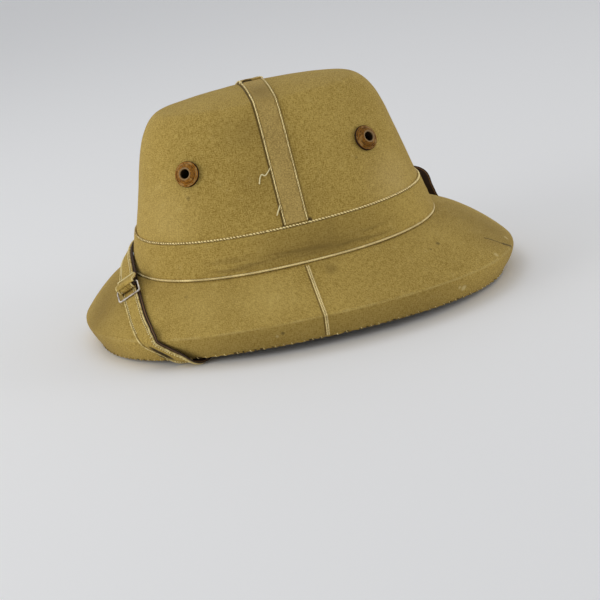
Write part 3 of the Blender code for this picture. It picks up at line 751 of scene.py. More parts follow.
def band_stations():
    """(Height, distance from the crown) round the band's section, rolled at both edges."""
    outer = []
    for i in range(BAND_ROWS + 1):
        share = i / BAND_ROWS
        edge = min(share, 1 - share) * (BAND_TOP - BAND_FOOT)
        roll = max(0.0, 1 - edge / BAND_ROLL)
        height = BAND_FOOT + share * (BAND_TOP - BAND_FOOT)
        outer.append((height, CLEAR + BAND_WALL - BAND_ROLL_DEPTH * roll ** 2))
    inner = [(BAND_TOP - 0.2 * MM, CLEAR), (BAND_FOOT + 0.2 * MM, CLEAR)]
    return outer + inner + outer[:1]


band_rows = band_stations()


def band_place(share, row):
    """The band pulled round the crown, a little uneven, with two soft creases at the right."""
    height, out = band_rows[row]
    angle = math.tau * share
    if out > 2 * CLEAR:
        along = Vector((math.cos(angle) * 2.2, math.sin(angle) * 2.2, height / (5 * MM)))
        out += 0.28 * MM * noise.noise(along)
        creased_here = math.exp(-((math.degrees(angle) - BAND_CREASED_AT) / BAND_CREASED_SPREAD) ** 2)
        for at, depth, spread in BAND_CREASES:
            out += depth * creased_here * math.exp(-((height - at) / spread) ** 2)
        out = max(out, CLEAR + 0.5 * MM)
    return crown_side(angle, height, out)


def band_streaks(tree, colour):
    """Darker streaks along the band's lower half, beside both ears."""
    _, across = cloth_axes(tree)
    streak = stretched(tree, cloth_place(tree), (1 / (50 * MM), 1 / (5 * MM), 1), Detail=4.0)
    line = line_mask(tree, across, BAND_STREAK_AT, 1.0 * MM, 7.5 * MM)
    patches = times(tree, line, ramp(tree, streak, 0.34, 0.66))
    patches = times(tree, patches, line_mask(tree, hat_axes(tree)[1], 0.0, *BAND_STREAK_REACH))
    return tint(tree, colour, BAND_STREAK_DARK, times(tree, patches, 0.72))


band_marks = [
    ((-90.0, 16.0, 12.0), 36, SHADE, 0.45),
    ((-90.0, -20.0, 12.0), 42, SHADE, 0.70),
    ((-78.0, -60.0, 14.0), 36, SHADE, 0.15),
]
band_drill = drill_cloth("band_drill", marks=band_marks, extra=band_streaks)
bm = wrapped_grid(BAND_COLUMNS, len(band_rows) - 1, band_place, centres=(0.0, 0.5, 1.0))
close_seams(bm)
add_piece("band_cloth", bm, [band_drill], ["hat_band"])


# ---------------------------------------------------------------- Cord, piping and ear seams
# Twisted pale cotton. A thin whipped cord finishes the band's upper edge, a thicker corded piping lies
# under its lower edge, and two cords side by side cover the brim's seam over each ear.
TOP_CORD_RADIUS = 0.6 * MM
TOP_CORD_LAY = 2.4 * MM
PIPING_RADIUS = 0.72 * MM
PIPING_LAY = 4.2 * MM
PIPING_SINK = 0.45 * MM
SEAM_RADIUS = 0.5 * MM
SEAM_LAY = 3.2 * MM
SEAM_BESIDE = 0.62 * MM
SEAM_LIFT = 0.6 * MM
CORD_PALE = (1.0, 0.82, 0.38)
CORD_DEEP = (0.26, 0.17, 0.05)


def pale_cotton(name, plies, lay, contrast=0.55):
    """Twisted cotton yarn: dark between its plies, which turn once in each lay."""
    made, tree = blank_finish(name, 0.82, sheen=0.15)
    around, along = cloth_axes(tree)
    drift = node(tree, "TexNoise", {"noise_dimensions": "1D"}, W=along, Scale=1 / (4 * MM), Detail=1.0)
    along = calc(tree, "MULTIPLY_ADD", drift, 0.8 * lay, along)
    turned = times(tree, around, math.tau * plies)
    turn = calc(tree, "MULTIPLY_ADD", along, -math.tau * plies / lay, turned)
    ridge = calc(tree, "MULTIPLY_ADD", calc(tree, "COSINE", turn), 0.5, 0.5)
    body = object_place(tree)
    fuzz = grain(tree, body, 0.7 * MM)
    patches = grain(tree, body, 14 * MM)
    level = calc(tree, "MULTIPLY_ADD", ridge, contrast, calc(tree, "MULTIPLY_ADD", fuzz, 0.8, -0.4))
    level = calc(tree, "MULTIPLY_ADD", patches, 1.0, calc(tree, "SUBTRACT", level, 0.5))
    level = calc(tree, "ADD", level, 0.5 - 0.5 * contrast)
    colour = tint(tree, CORD_DEEP, CORD_PALE, ramp(tree, level, -0.2, 0.95))
    finish_with(tree, colour, calc(tree, "ADD", ridge, fuzz), 0.15 * MM, 0.5)
    return made


def evenly(points, lengths, count):
    """(Point, look) pairs again, at even steps of their running lengths."""
    even = []
    k = 0
    for i in range(count + 1):
        reach = lengths[-1] * i / count
        while k < len(points) - 2 and lengths[k + 1] < reach:
            k += 1
        t = (reach - lengths[k]) / (lengths[k + 1] - lengths[k])
        even.append((points[k][0].lerp(points[k + 1][0], t), points[k][1].lerp(points[k + 1][1], t)))
    return even


def run_lengths(points):
    """Length along a line from its start to each of its points."""
    run = [0.0]
    for a, b in zip(points, points[1:]):
        run.append(run[-1] + (b[0] - a[0]).length)
    return run


def even_line(points, step, closed=False):
    """(Point, look) pairs again, at even steps along the line."""
    if closed:
        points = points + points[:1]
    lengths = run_lengths(points)
    return evenly(points, lengths, max(2, round(lengths[-1] / step)))


def map_cloth(bm, width, place):
    """Writes the UV map of a grid that is width vertices wide, from place(row, column)."""
    weave = bm.loops.layers.uv["weave"]
    for face in bm.faces:
        for loop in face.loops:
            loop[weave].uv = place(*divmod(loop.vert.index, width))


def twisted_cord(line, radius, lay, plies=2, depth=0.16, closed=False, facets=8):
    """Cord of twisted plies along (point, look) pairs, closed to a ring or drawn to a point at its ends."""
    last = len(line) - 1
    total = sum((b[0] - a[0]).length for a, b in zip(line, line[1:]))
    turns = max(1, round(total / lay)) if closed else total / lay

    def place(share, row):
        spot, look = line[row]
        before = line[row - 1 if row else (last - 1 if closed else 0)][0]
        after = line[row + 1 if row < last else (1 if closed else last)][0]
        ahead = (after - before).normalized()
        side = look.cross(ahead).normalized()
        up = ahead.cross(side)
        angle = math.tau * share
        wide = radius * (1 + depth * math.cos(plies * (angle - math.tau * turns * row / last)))
        if not closed and row in (0, last):
            wide = 0.0
        return spot + side * (wide * math.cos(angle)) + up * (wide * math.sin(angle))

    bm = wrapped_grid(facets, last, place)
    map_cloth(bm, facets + 1, lambda row, column: (column / facets, total * row / last))
    close_seams(bm)
    return bm


def joined(parts):
    """One mesh of several."""
    whole = bmesh.new()
    whole.loops.layers.uv.new("weave")
    for part in parts:
        mesh = bpy.data.meshes.new("part")
        part.to_mesh(mesh)
        part.free()
        whole.from_mesh(mesh)
        bpy.data.meshes.remove(mesh)
    return whole


def ring_line(height, out, count=360):
    """Closed line round the crown, with the direction that faces away from it."""
    points = []
    for i in range(count):
        angle = math.tau * i / count
        spot = crown_side(angle, height, out)
        away = crown_side(angle, height, out + 1 * MM) - spot
        points.append((spot, away.normalized()))
    return points


top_cord_yarn = pale_cotton("top_cord_yarn", 1, TOP_CORD_LAY, 1.3)
line = ring_line(BAND_TOP + CLEAR + TOP_CORD_RADIUS, CLEAR + TOP_CORD_RADIUS * 1.15)
line = even_line(line, 0.5 * MM, closed=True)
bm = twisted_cord(line, TOP_CORD_RADIUS, TOP_CORD_LAY, plies=1, depth=0.34, closed=True)
add_piece("band_whipped_cord", bm, [top_cord_yarn], ["band_top_cord"])
piping_yarn = pale_cotton("piping_yarn", 2, PIPING_LAY, 0.12)
line = ring_line(BAND_FOOT - PIPING_SINK, CLEAR + PIPING_RADIUS * 1.15)
line = even_line(line, 0.8 * MM, closed=True)
bm = twisted_cord(line, PIPING_RADIUS, PIPING_LAY, depth=0.1, closed=True, facets=10)
add_piece("band_piping", bm, [piping_yarn], ["band_lower_piping"])


def ear_line(angle, lift, beside):
    """Line over the brim and down the rim at one ear, set off to the front or the back."""
    points = [brim_top(angle, 0.06 + 0.88 * i / 20, lift) for i in range(21)]
    points += [rim_face(angle, share, lift) for share in (0.0, 0.06)]
    for share in (0.2, 0.4, 0.6, 0.8, 0.93):
        points.append(rim_face(angle, share, lift + RIM_BULGE * share * (1 - share)))
    line = []
    for k, point in enumerate(points):
        ahead = points[min(k + 1, len(points) - 1)] - points[max(k - 1, 0)]
        look = ahead.cross(Vector((0, 1, 0))) * math.copysign(1, -point.x)
        point = point.copy()
        point.y = beside
        line.append((point, look.normalized() * math.copysign(1, look.z if abs(look.z) > 0.2 else 1)))
    return even_line(line, 0.6 * MM)


seam_yarn = pale_cotton("seam_yarn", 2, SEAM_LAY)
for side, angle in (("right", math.pi), ("left", 0.0)):
    cords = [twisted_cord(ear_line(angle, SEAM_LIFT, beside), SEAM_RADIUS, SEAM_LAY)
             for beside in (-SEAM_BESIDE, SEAM_BESIDE)]
    add_piece("ear_seam_" + side, joined(cords), [seam_yarn], ["brim_seam_" + side])


# ---------------------------------------------------------------- Rim hem
# The cover's raw edge is rolled under the rim's foot and whipped down by hand with pale thread, which
# pinches it into uneven lumps with a nick at each stitch, and the shade in each nick is painted dark.
HEM_RADIUS = 0.95 * MM
HEM_LAY = 6.8 * MM
HEM_SHARE = 0.955          # down the rim's face
HEM_SINK = 0.55 * MM
HEM_STITCH = 0.34 * MM
HEM_STITCH_STEPS = (4, 5, 5, 6, 7)      # in 720ths of the way round


def hem_line(count):
    """Closed line along the rim's foot, with the direction that faces away from the pith."""
    points = []
    for i in range(count):
        angle = math.tau * i / count
        spot = rim_face(angle, HEM_SHARE, -HEM_SINK)
        away = (rim_plan(angle, 1 * MM) - rim_plan(angle)).normalized() - Vector((0, 0, 0.6))
        points.append((spot, away.normalized()))
    return points


def hem_nick_shade(tree, colour):
    """Painted shade in nicks at uneven steps along the hem, which is also darker in long stretches."""
    _, along = cloth_axes(tree)
    drift = node(tree, "TexNoise", {"noise_dimensions": "1D"}, W=along, Scale=1 / (11 * MM), Detail=1.0)
    turn = calc(tree, "MULTIPLY_ADD", along, math.tau / HEM_LAY, times(tree, drift, 9.0))
    # Painted shade in each nick.
    nick = ramp(tree, calc(tree, "COSINE", turn), 0.35, 0.75)
    faint = node(tree, "TexNoise", {"noise_dimensions": "1D"}, W=along, Scale=1 / (26 * MM), Detail=2.0)
    colour = tint(tree, colour, SHADE, times(tree, ramp(tree, faint, 0.4, 0.6), 0.5))
    return tint(tree, colour, GRIME_AND_SHADE, times(tree, nick, ramp(tree, faint, 0.3, 0.55)))


hem_drill = drill_cloth("hem_drill", extra=hem_nick_shade)
line = even_line(hem_line(900), 1.0 * MM, closed=True)
bm = twisted_cord(line, HEM_RADIUS, HEM_LAY, plies=1, depth=0.22, closed=True)
stand_on_floor(bm)
add_piece("rim_hem", bm, [hem_drill])
draw = random.Random("hem")
whip = []
hem_spots = hem_line(720)
k = 0
while k < len(hem_spots):
    spot, away = hem_spots[k]
    ahead = (hem_spots[(k + 3) % len(hem_spots)][0] - hem_spots[k - 3][0]).normalized()
    over = ahead.cross(away)
    lean = draw.uniform(0.25, 0.6)
    arc = []
    for turn in range(-70, 71, 20):
        rise = math.sin(math.radians(turn))
        look = away * math.cos(math.radians(turn)) + over * rise
        arc.append((spot + look * HEM_RADIUS * 1.1 + ahead * lean * rise * MM, look))
    if (HAT @ spot).z > HEM_RADIUS * 1.5:
        whip.append(twisted_cord(even_line(arc, 0.3 * MM), HEM_STITCH, 2 * MM, depth=0.0, facets=5))
    k += draw.choice(HEM_STITCH_STEPS)
hem_thread = pale_cotton("hem_thread", 2, 1.2 * MM, 0.3)
add_piece("rim_hem_stitches", joined(whip), [hem_thread])


# ---------------------------------------------------------------- Crown strip
# A strip of slightly greyer cotton from ear to ear over the crown. It covers the seam between the
# front and back halves of the cover, and a thin cord is sewn along each of its edges.
STRIP_WIDTH = 14.6 * MM
STRIP_WALL = 1.2 * MM
STRIP_FOOT = 27.6 * MM
STRIP_LIT = (0.56, 0.395, 0.122)
STRIP_DEEP = (0.270, 0.178, 0.048)
STRIP_LAP_X = 4 * MM
STRIP_LAP_RISE = 1.25 * MM
STRIP_LAP_FADE = 26 * MM
STRIP_COLUMNS = 16
STRIP_SIDE_STEPS = 14
STRIP_BEND_STEPS = 20
STRIP_TOP_STEPS = 12
STRIP_ROLL_FROM = 0.86     # share of the half width where its edge begins to roll down
STRIP_CORD_RADIUS = 0.52 * MM
STRIP_CORD_LAY = 2.4 * MM


def strip_line(out):
    """Line over the crown from the right ear to the left, at a distance from its face."""
    side_top = CROWN_CORNER - SHOULDER_DROP
    first = STRIP_FOOT / side_top
    rise = [first + (1 - first) * i / STRIP_SIDE_STEPS for i in range(STRIP_SIDE_STEPS + 1)]
    rise += [1 + i / STRIP_BEND_STEPS for i in range(1, STRIP_BEND_STEPS + 1)]
    rise += [2 + i / STRIP_TOP_STEPS for i in range(1, STRIP_TOP_STEPS + 1)]
    right = [crown_point(math.pi, run, out) for run in rise]
    left = [crown_point(0.0, run, out) for run in rise]
    points = right + left[:-1][::-1]
    line = []
    for k, point in enumerate(points):
        ahead = points[min(k + 1, len(points) - 1)] - points[max(k - 1, 0)]
        line.append((Vector((point.x, 0, point.z)), Vector((-ahead.z, 0, ahead.x)).normalized()))
    return line


def lapped(line, step):
    """Right half of a line as it is, then the left half raised where its folded end lies on top."""
    right = [(spot, look) for spot, look in line if spot.x < STRIP_LAP_X]
    left = []
    for spot, look in line:
        past = (spot.x - STRIP_LAP_X) / STRIP_LAP_FADE
        if past > 0:
            left.append((spot + look * STRIP_LAP_RISE * max(0.0, 1 - past) ** 0.5, look))
    spot, look = right[-1]
    right.append((Vector((STRIP_LAP_X, 0, spot.z)), look))
    left.insert(0, (Vector((STRIP_LAP_X - 0.5 * MM, 0, spot.z)) + look * STRIP_LAP_RISE, look))
    return even_line(right, step) + even_line(left, step)


strip_run = lapped(strip_line(CLEAR), 1.6 * MM)
strip_section = []
for i in range(STRIP_COLUMNS + 1):
    across = 2 * i / STRIP_COLUMNS - 1
    edge = max(0.0, (abs(across) - STRIP_ROLL_FROM) / (1 - STRIP_ROLL_FROM))
    strip_section.append((across * STRIP_WIDTH / 2, STRIP_WALL * (1 - 0.55 * edge ** 2)))
strip_section += [(STRIP_WIDTH / 2, 0.0), (-STRIP_WIDTH / 2, 0.0), strip_section[0]]


def strip_place(share, row):
    """The strip laid along its line, a little uneven, with a small pucker beside the lap."""
    spot, look = strip_run[row]
    across, rise = strip_section[round(share * (len(strip_section) - 1))]
    if rise:
        rise += 0.16 * MM * noise.noise(Vector((across / (5 * MM), row * 0.12, 4.0)))
    past = (spot.x - STRIP_LAP_X + 0.6 * MM) / (6 * MM)
    if past > 0:
        rise += 0.8 * MM * math.exp(-past ** 2 - ((across - 4.2 * MM) / (2.6 * MM)) ** 2)
    return spot + Vector((0, across, 0)) + look * rise


strip_marks = [
    # Painted shade over the strip's top, and a painted shadow under the edge of its lapped end.
    ((-30.0, 1.0, 116.0), 30, SHADE, 0.60),
    ((3.8, 1.2, 119.2), 1.6, GRIME_AND_SHADE, 0.95, (3.8, 7.0, 119.2)),
]
strip_drill = drill_cloth("strip_drill", STRIP_LIT, STRIP_DEEP, marks=strip_marks)
bm = wrapped_grid(len(strip_section) - 1, len(strip_run) - 1, strip_place)
close_seams(bm)
bmesh.ops.holes_fill(bm, edges=[edge for edge in bm.edges if edge.is_boundary])
add_piece("crown_strip_cloth", bm, [strip_drill], ["crown_strip"], sharp_degrees=50)
strip_yarn = pale_cotton("strip_yarn", 2, 4.4 * MM, 0.9)
for name, side in (("front", -1), ("rear", 1)):
    offset = Vector((0, side * (STRIP_WIDTH / 2 + CLEAR + STRIP_CORD_RADIUS), 0))
    run = lapped(strip_line(CLEAR + STRIP_CORD_RADIUS * 1.2), 0.5 * MM)
    line = [(spot + offset, look) for spot, look in run]
    bm = twisted_cord(line, STRIP_CORD_RADIUS, STRIP_CORD_LAY)
    add_piece("strip_cord_" + name, bm, [strip_yarn], ["crown_strip_cord_" + name])


# ---------------------------------------------------------------- Loose threads
# Two short ends of the strip's sewing thread that have worked loose at the right side and curl away
# from its rear cord, and the knot where that thread was fastened off on top.
LOOSE_RADIUS = 0.46 * MM
LOOSE_LAY = 1.1 * MM
LOOSE_COTTON = (1.0, 0.88, 0.50)
LOOSE_LOOK = Vector((-0.9, 0, 0.4))
LOOSE_THREADS = {
    "upper": (
        (-66.9, 7.6, 67.6), (-69.2, 10.6, 65.0), (-70.4, 13.6, 62.8),
        (-69.6, 15.6, 64.0), (-69.9, 17.4, 61.8), (-71.4, 18.9, 57.8),
    ),
    "lower": ((-77.9, 8.0, 41.8), (-80.6, 9.8, 39.4), (-82.2, 11.2, 37.6), (-81.9, 12.4, 35.0)),
    "knot": (
        (2.6, 8.6, 118.6), (3.6, 9.4, 119.6), (4.6, 8.4, 119.2),
        (3.8, 7.6, 118.9), (2.8, 8.8, 119.4), (3.4, 10.0, 118.8),
    ),
}


def catmull_rom(a, b, c, d, t):
    """Smooth curve from b to c at share t, with a before it and d after it."""
    return 0.5 * ((2 * b) + (c - a) * t + (2 * a - 5 * b + 4 * c - d) * t * t
                  + (3 * b - a - 3 * c + d) * t * t * t)


loose_thread = plain_cotton("loose_thread", LOOSE_COTTON)
ends = []
for points in LOOSE_THREADS.values():
    spots = [Vector(point) * MM for point in points]
    spots = [spots[0] * 2 - spots[1]] + spots + [spots[-1] * 2 - spots[-2]]
    line = []
    for i in range(1, len(spots) - 2):
        line += [(catmull_rom(*spots[i - 1:i + 3], j / 6), LOOSE_LOOK) for j in range(6)]
    line.append((spots[-2], LOOSE_LOOK))
    ends.append(twisted_cord(even_line(line, 0.35 * MM), LOOSE_RADIUS, LOOSE_LAY, depth=0.15, facets=6))
add_piece("loose_thread_ends", joined(ends), [loose_thread])


# ---------------------------------------------------------------- Vents
# Four turned eyelets of pressed brown fibre, two to a side. Each has a stepped flange on the outside and
# a tube through the pith, which is open from the outside to the hollow of the crown.
VENT_STEPS = 64
VENT_DARK = 3.6 * MM       # the tube is painted dark as shade from here inwards
VENT_LIP = 4.0 * MM
VENT_LEDGE = 8.0 * MM
VENT_WALL = 8.45 * MM
VENT_WALL_TOP = 2.45 * MM
FIBRE_LIT = (0.40, 0.170, 0.020)
FIBRE_DEEP = (0.070, 0.028, 0.006)
FIBRE_WORN = (0.50, 0.29, 0.085)
LIP_RUBBED = (0.30, 0.20, 0.10)
LEDGE_RUBBED = (0.40, 0.26, 0.11)
WALL_SHADE = (0.016, 0.007, 0.004)
BORE_SHADE = (0.012, 0.008, 0.006)
FRONT_FIBRE_SHARE = 0.62       # the front eyelets are darker than the rear ones
VENT_PROFILE = [       # (radius, height over the cloth) in millimetres, round the section
    (3.4, -8.5), (4.4, -8.5), (4.4, 0.35), (9.0, 0.35), (9.3, 0.65), (9.35, 1.3), (9.3, 1.9), (8.95, 2.3),
    (8.5, 2.5), (8.1, 2.5), (7.85, 2.35), (7.6, 2.7), (7.3, 3.3), (6.9, 3.85), (6.65, 4.05), (6.5, 3.95),
    (6.3, 4.3), (5.8, 4.85), (5.4, 5.1), (5.2, 5.05), (5.0, 5.45), (4.6, 5.85), (4.1, 5.9), (3.7, 5.65),
    (3.45, 5.2), (3.4, 4.2),
]


def pressed_fibre(name, facing, brightness):
    """Brown fibre of one eyelet: turned rings, grain, a rubbed lip and ledge, painted shade on its wall and
    bore.
    """
    made, tree = blank_finish(name, 0.5)
    shader = tree.nodes["Principled BSDF"]
    shader.inputs["Specular IOR Level"].default_value = 0.1
    body = object_place(tree)
    back = (HAT @ facing).inverted()
    local = node(tree, "Mapping", None, Vector=body, Location=back.translation, Rotation=back.to_euler())
    flat = node(tree, "VectorMath", {"operation": "MULTIPLY"}, in_0=local, in_1=(1, 1, 0))
    node(tree, "VectorMath", {"operation": "LENGTH"}, in_0=flat)
    reach = tree.nodes[-1].outputs["Value"]
    rise = separate(tree, local)[2]
    rings = node(tree, "TexNoise", {"noise_dimensions": "1D"}, W=reach, Scale=1 / (0.55 * MM), Detail=2.0)
    pores = grain(tree, body, 1.3 * MM)
    scuff = grain(tree, body, 3.2 * MM)
    level = calc(tree, "MULTIPLY_ADD", rings, 0.9, times(tree, pores, 0.8))
    lit = tuple(c * brightness for c in FIBRE_LIT)
    colour = tint(tree, FIBRE_DEEP, lit, ramp(tree, level, 0.6, 1.05))
    worn = times(tree, ramp(tree, scuff, 0.52, 0.66), 0.6 * brightness)
    lip = times(tree, line_mask(tree, reach, VENT_LIP, 0.35 * MM, 0.8 * MM), 0.8)
    ledge = line_mask(tree, reach, VENT_LEDGE, 0.1 * MM, 0.5 * MM)
    ledge = times(tree, ledge, ramp(tree, scuff, 0.4, 0.55))
    # Painted shade on the flange's outer wall and down the bore.
    low = inverse(tree, ramp(tree, rise, VENT_WALL_TOP - 0.4 * MM, VENT_WALL_TOP))
    wall = times(tree, ramp(tree, reach, VENT_WALL, VENT_WALL + 0.3 * MM), low)
    bore = ramp(tree, calc(tree, "SUBTRACT", VENT_DARK, reach), 0.0, 0.25 * MM)
    for paint, mask in ((FIBRE_WORN, worn), (LIP_RUBBED, lip), (LEDGE_RUBBED, ledge),
                        (WALL_SHADE, times(tree, wall, 0.92)), (BORE_SHADE, bore)):
        colour = tint(tree, colour, paint, mask)
    tree.links.new(calc(tree, "MULTIPLY_ADD", pores, 0.35, 0.34), shader.inputs["Roughness"])
    finish_with(tree, colour, level, 0.2 * MM, 0.7)
    return made


for name, (spot, normal) in vent_spots.items():
    facing = Matrix.Translation(spot) @ normal.to_track_quat("Z", "Y").to_matrix().to_4x4()
    fibre = pressed_fibre("pressed_fibre_" + name, facing, FRONT_FIBRE_SHARE if "front" in name else 1.0)

    def vent_place(share, row):
        """The eyelet's section carried round, a little out of round."""
        radius, height = VENT_PROFILE[row % len(VENT_PROFILE)]
        x, y = math.cos(math.tau * share), math.sin(math.tau * share)
        wobble = 1 + 0.012 * noise.noise(Vector((x * 1.5, y * 1.5, spot.y * 90)))
        return Vector((radius * MM * x * wobble, radius * MM * y * wobble, height * MM))

    bm = wrapped_grid(VENT_STEPS, len(VENT_PROFILE), vent_place)
    close_seams(bm)
    bmesh.ops.transform(bm, matrix=facing, verts=bm.verts)
    add_piece("vent_eyelet_" + name, bm, [fibre], ["vent_" + name], sharp_degrees=60)


# ---------------------------------------------------------------- Chin strap
# A leather strap faced with a narrower strip of khaki cloth, sewn down along both edges, with a patch
# folded over its end at the buckle. It is riveted inside at both ears, worn round the brim instead of
# under the chin, and buckled at the right rear. Where it turns over the rim its outer edge is drawn in.
STRAP_WIDTH = 15 * MM
LEATHER_WALL = 1.05 * MM
CLOTH_WIDTH = 12.4 * MM
CLOTH_SHIFT = 1.05 * MM
CLOTH_WALL = 1.05 * MM
TURN_RADIUS = 8 * MM       # a turn of one radian counts as this much length
STITCH_LENGTH = 1.3 * MM
STITCH_PITCH = 2.0 * MM
STITCH_RADIUS = 0.46 * MM
TURN_Y = 114 * MM          # where the tail turns over the rim
TURN_SPAN = 7 * MM
TAIL_INWARDS = (-86 * MM, -80 * MM)     # the crease fades out between these
TAIL_DRAW = 0.42           # share by which its outer edge is drawn in there
CREASE_OVER = 3.6 * MM
CREASE_HALF_WIDTH = 3.4 * MM
CREASE_HALF_LENGTH = 9.5 * MM
CREASE_DEPTH = 0.8 * MM
FOLD_FIRST, FOLD_LAST = 13, 22      # stations of the long run under the folded patch
FOLD_OUT = 1.15 * MM
RIB_SHADE_Z = (-11 * MM, -4 * MM)      # past these, above the buckle, the rib's rub is held back and the rib is left dark as painted shade
RIB_SHADE_Y = (100 * MM, 112 * MM)
LEATHER_LIT = (0.050, 0.026, 0.015)
LEATHER_DEEP = (0.012, 0.007, 0.005)
LEATHER_RUBBED = (0.19, 0.098, 0.036)
FACE_RUBBED = (0.80, 0.65, 0.29)
CREASE_SHADE = (0.022, 0.012, 0.006)
STITCH_COTTON = (1.0, 0.88, 0.48)
# The buckle's own axes (along the strap, across it, outwards) and its centre, in columns.
BUCKLE = Matrix(((0.84385, 0.25509, -0.47208, -0.04863),
                 (0.01121, 0.8712, 0.49079, 0.12563),
                 (0.53647, -0.41945, 0.7323, -0.00292),
                 (0, 0, 0, 1)))
BUCKLE_ALONG = 9.7 * MM
BUCKLE_WIRE = 0.75 * MM
FAR_NORMAL = Vector((-0.2012, 0.4425, 0.8739))     # out of the strap at the buckle's far bar
# Stations of both runs: the place in millimetres, then the way that the strap's outer face looks.
TAIL_ROUTE = (
    (-83.9, -16.9, 7.7, 0.94, 0.01, -0.35),
    (-86.1, 3.0, 0.9, 0.98, 0.00, -0.22),
    (-85.5, 23.8, -9.8, 0.98, -0.05, -0.19),
    (-87.3, 45.8, -25.2, 0.83, -0.03, -0.56),
    (-93.0, 66.0, -37.5, 0.56, 0.15, -0.81),
    (-98.8, 81.5, -45.2, 0.07, 0.09, -0.99),
    (-104.6, 91.7, -47.5, -0.06, 0.26, -0.96),
    (-104.2, 101.1, -43.3, -0.55, 0.55, -0.63),
    (-99.8, 110.6, -38.2, -0.70, 0.56, -0.44),
    (-97.4, 117.4, -32.4, -0.69, 0.58, -0.42),
    (-95.0, 120.2, -28.0, -0.69, 0.65, 0.31),
    (-88.9, 122.0, -24.9, -0.47, 0.50, 0.72),
    (-76.3, 123.4, -18.4, -0.42, 0.52, 0.75),
    (-60.3, 123.6, -10.7, -0.32, 0.50, 0.80),
    (-45.2, 123.6, -5.7, -0.22, 0.47, 0.86),
    (-31.0, 123.2, -2.9, -0.13, 0.43, 0.89),
    (-21.0, 122.8, -1.5, -0.06, 0.42, 0.91),
)
STRAP_ROUTE = (
    (-39.6, 124.3, 0.3, -0.15, 0.44, 0.88),
    (-32.0, 123.2, 0.4, -0.11, 0.42, 0.90),
    (-24.0, 122.4, 1.6, -0.07, 0.46, 0.89),
    (-12.0, 121.1, 3.9, 0.00, 0.60, 0.80),
    (0.0, 120.0, 5.6, 0.02, 0.68, 0.73),
    (12.0, 118.3, 6.8, 0.07, 0.75, 0.66),
    (24.0, 116.0, 7.4, 0.17, 0.78, 0.60),
    (38.0, 112.0, 7.2, 0.28, 0.77, 0.57),
    (56.0, 103.5, 6.4, 0.50, 0.70, 0.51),
    (76.0, 84.0, 6.4, 0.72, 0.52, 0.46),
    (90.0, 55.0, 7.6, 0.84, 0.30, 0.45),
    (95.3, 22.0, 8.5, 0.90, 0.10, 0.43),
    (95.4, -15.0, 9.0, 0.91, -0.06, 0.40),
    (91.5, -52.0, 8.6, 0.95, -0.16, 0.26),
    (85.5, -90.0, 6.6, 0.97, -0.20, 0.14),
    (80.5, -117.0, 4.6, 0.95, -0.28, 0.12),
    (78.8, -128.3, 0.8, 0.92, -0.36, 0.18),
    (78.6, -131.0, -8.4, 0.87, -0.42, 0.26),
    (80.9, -134.6, -18.6, 0.76, -0.54, 0.36),
    (85.8, -140.3, -29.6, 0.66, -0.66, 0.36),
    (92.2, -135.0, -38.8, 0.65, -0.62, -0.44),
    (97.2, -125.2, -47.0, 0.70, -0.57, -0.43),
    (94.9, -118.0, -50.8, 0.11, -0.18, -0.98),
    (91.8, -106.3, -48.9, -0.16, 0.28, -0.95),
    (90.5, -88.0, -40.0, -0.45, 0.30, -0.84),
    (87.6, -63.8, -29.9, -0.71, 0.22, -0.67),
    (85.4, -39.8, -17.9, -0.92, 0.11, -0.37),
    (85.9, -13.9, -3.1, -0.98, 0.01, -0.20),
    (84.5, 10.0, 7.9, -0.93, 0.00, -0.37),
)


def smooth_route(route, steps):
    """(Point, normal) pairs along a smooth curve through a route's stations, closer where it turns."""
    spots = [Vector(row[:3]) * MM for row in route]
    looks = [Vector(row[3:]).normalized() for row in route]
    spots = [2 * spots[0] - spots[1]] + spots + [2 * spots[-1] - spots[-2]]
    looks = [looks[0]] + looks + [looks[-1]]
    fine = []
    for i in range(1, len(spots) - 2):
        for j in range(12):
            t = j / 12
            fine.append((catmull_rom(*spots[i - 1:i + 3], t), catmull_rom(*looks[i - 1:i + 3], t)))
    fine.append((spots[-2], looks[-2]))
    lengths = [0.0]
    for (a, look_a), (b, look_b) in zip(fine, fine[1:]):
        lengths.append(lengths[-1] + (b - a).length + TURN_RADIUS * look_a.angle(look_b))
    return evenly(fine, lengths, steps)


def fold_line():
    """The long run's start: a short return under the buckle's far bar, then a turn round it."""
    centre = BUCKLE @ Vector((BUCKLE_ALONG / 2, 0, 0))
    bar = BUCKLE.to_3x3() @ Vector((0, 1, 0))
    forward = bar.cross(FAR_NORMAL).normalized()
    up = forward.cross(bar)
    radius = BUCKLE_WIRE + CLEAR
    line = [(centre + forward * reach * MM - up * radius, -up) for reach in (4, 3, 2, 1)]
    for turn in range(-90, 91, 15):
        look = up * math.sin(math.radians(turn)) - forward * math.cos(math.radians(turn))
        line.append((centre + look * radius, look))
    return line


def strap_frames(line):
    """(Point, along, across, up) at each station of the strap."""
    frames = []
    last = len(line) - 1
    for i, (spot, look) in enumerate(line):
        along = (line[min(i + 1, last)][0] - line[max(i - 1, 0)][0]).normalized()
        across = look.cross(along).normalized()
        frames.append((spot, along, across, along.cross(across).normalized()))
    return frames


def turn_share(station):
    """1 where the strap turns over the rim, fading to 0 along it."""
    spot, _, across, _ = station
    edge = spot + across * (STRAP_WIDTH / 2)
    return math.exp(-((edge.y - TURN_Y) / TURN_SPAN) ** 2)


def drawn_in(station, over, draw):
    """Place across the strap, drawn in from its outer edge where it turns over the rim."""
    return over * (1 - draw * turn_share(station)) if over > 0 else over


def creased(station, over, rise, draw):
    """Height of the cloth, sunk into a crease along its outer side where it turns."""
    if not draw or rise < LEATHER_WALL:
        return rise
    bell = max(0.0, 1 - ((over - CREASE_OVER) / CREASE_HALF_WIDTH) ** 2)
    return rise - CREASE_DEPTH * bell * turn_share(station)


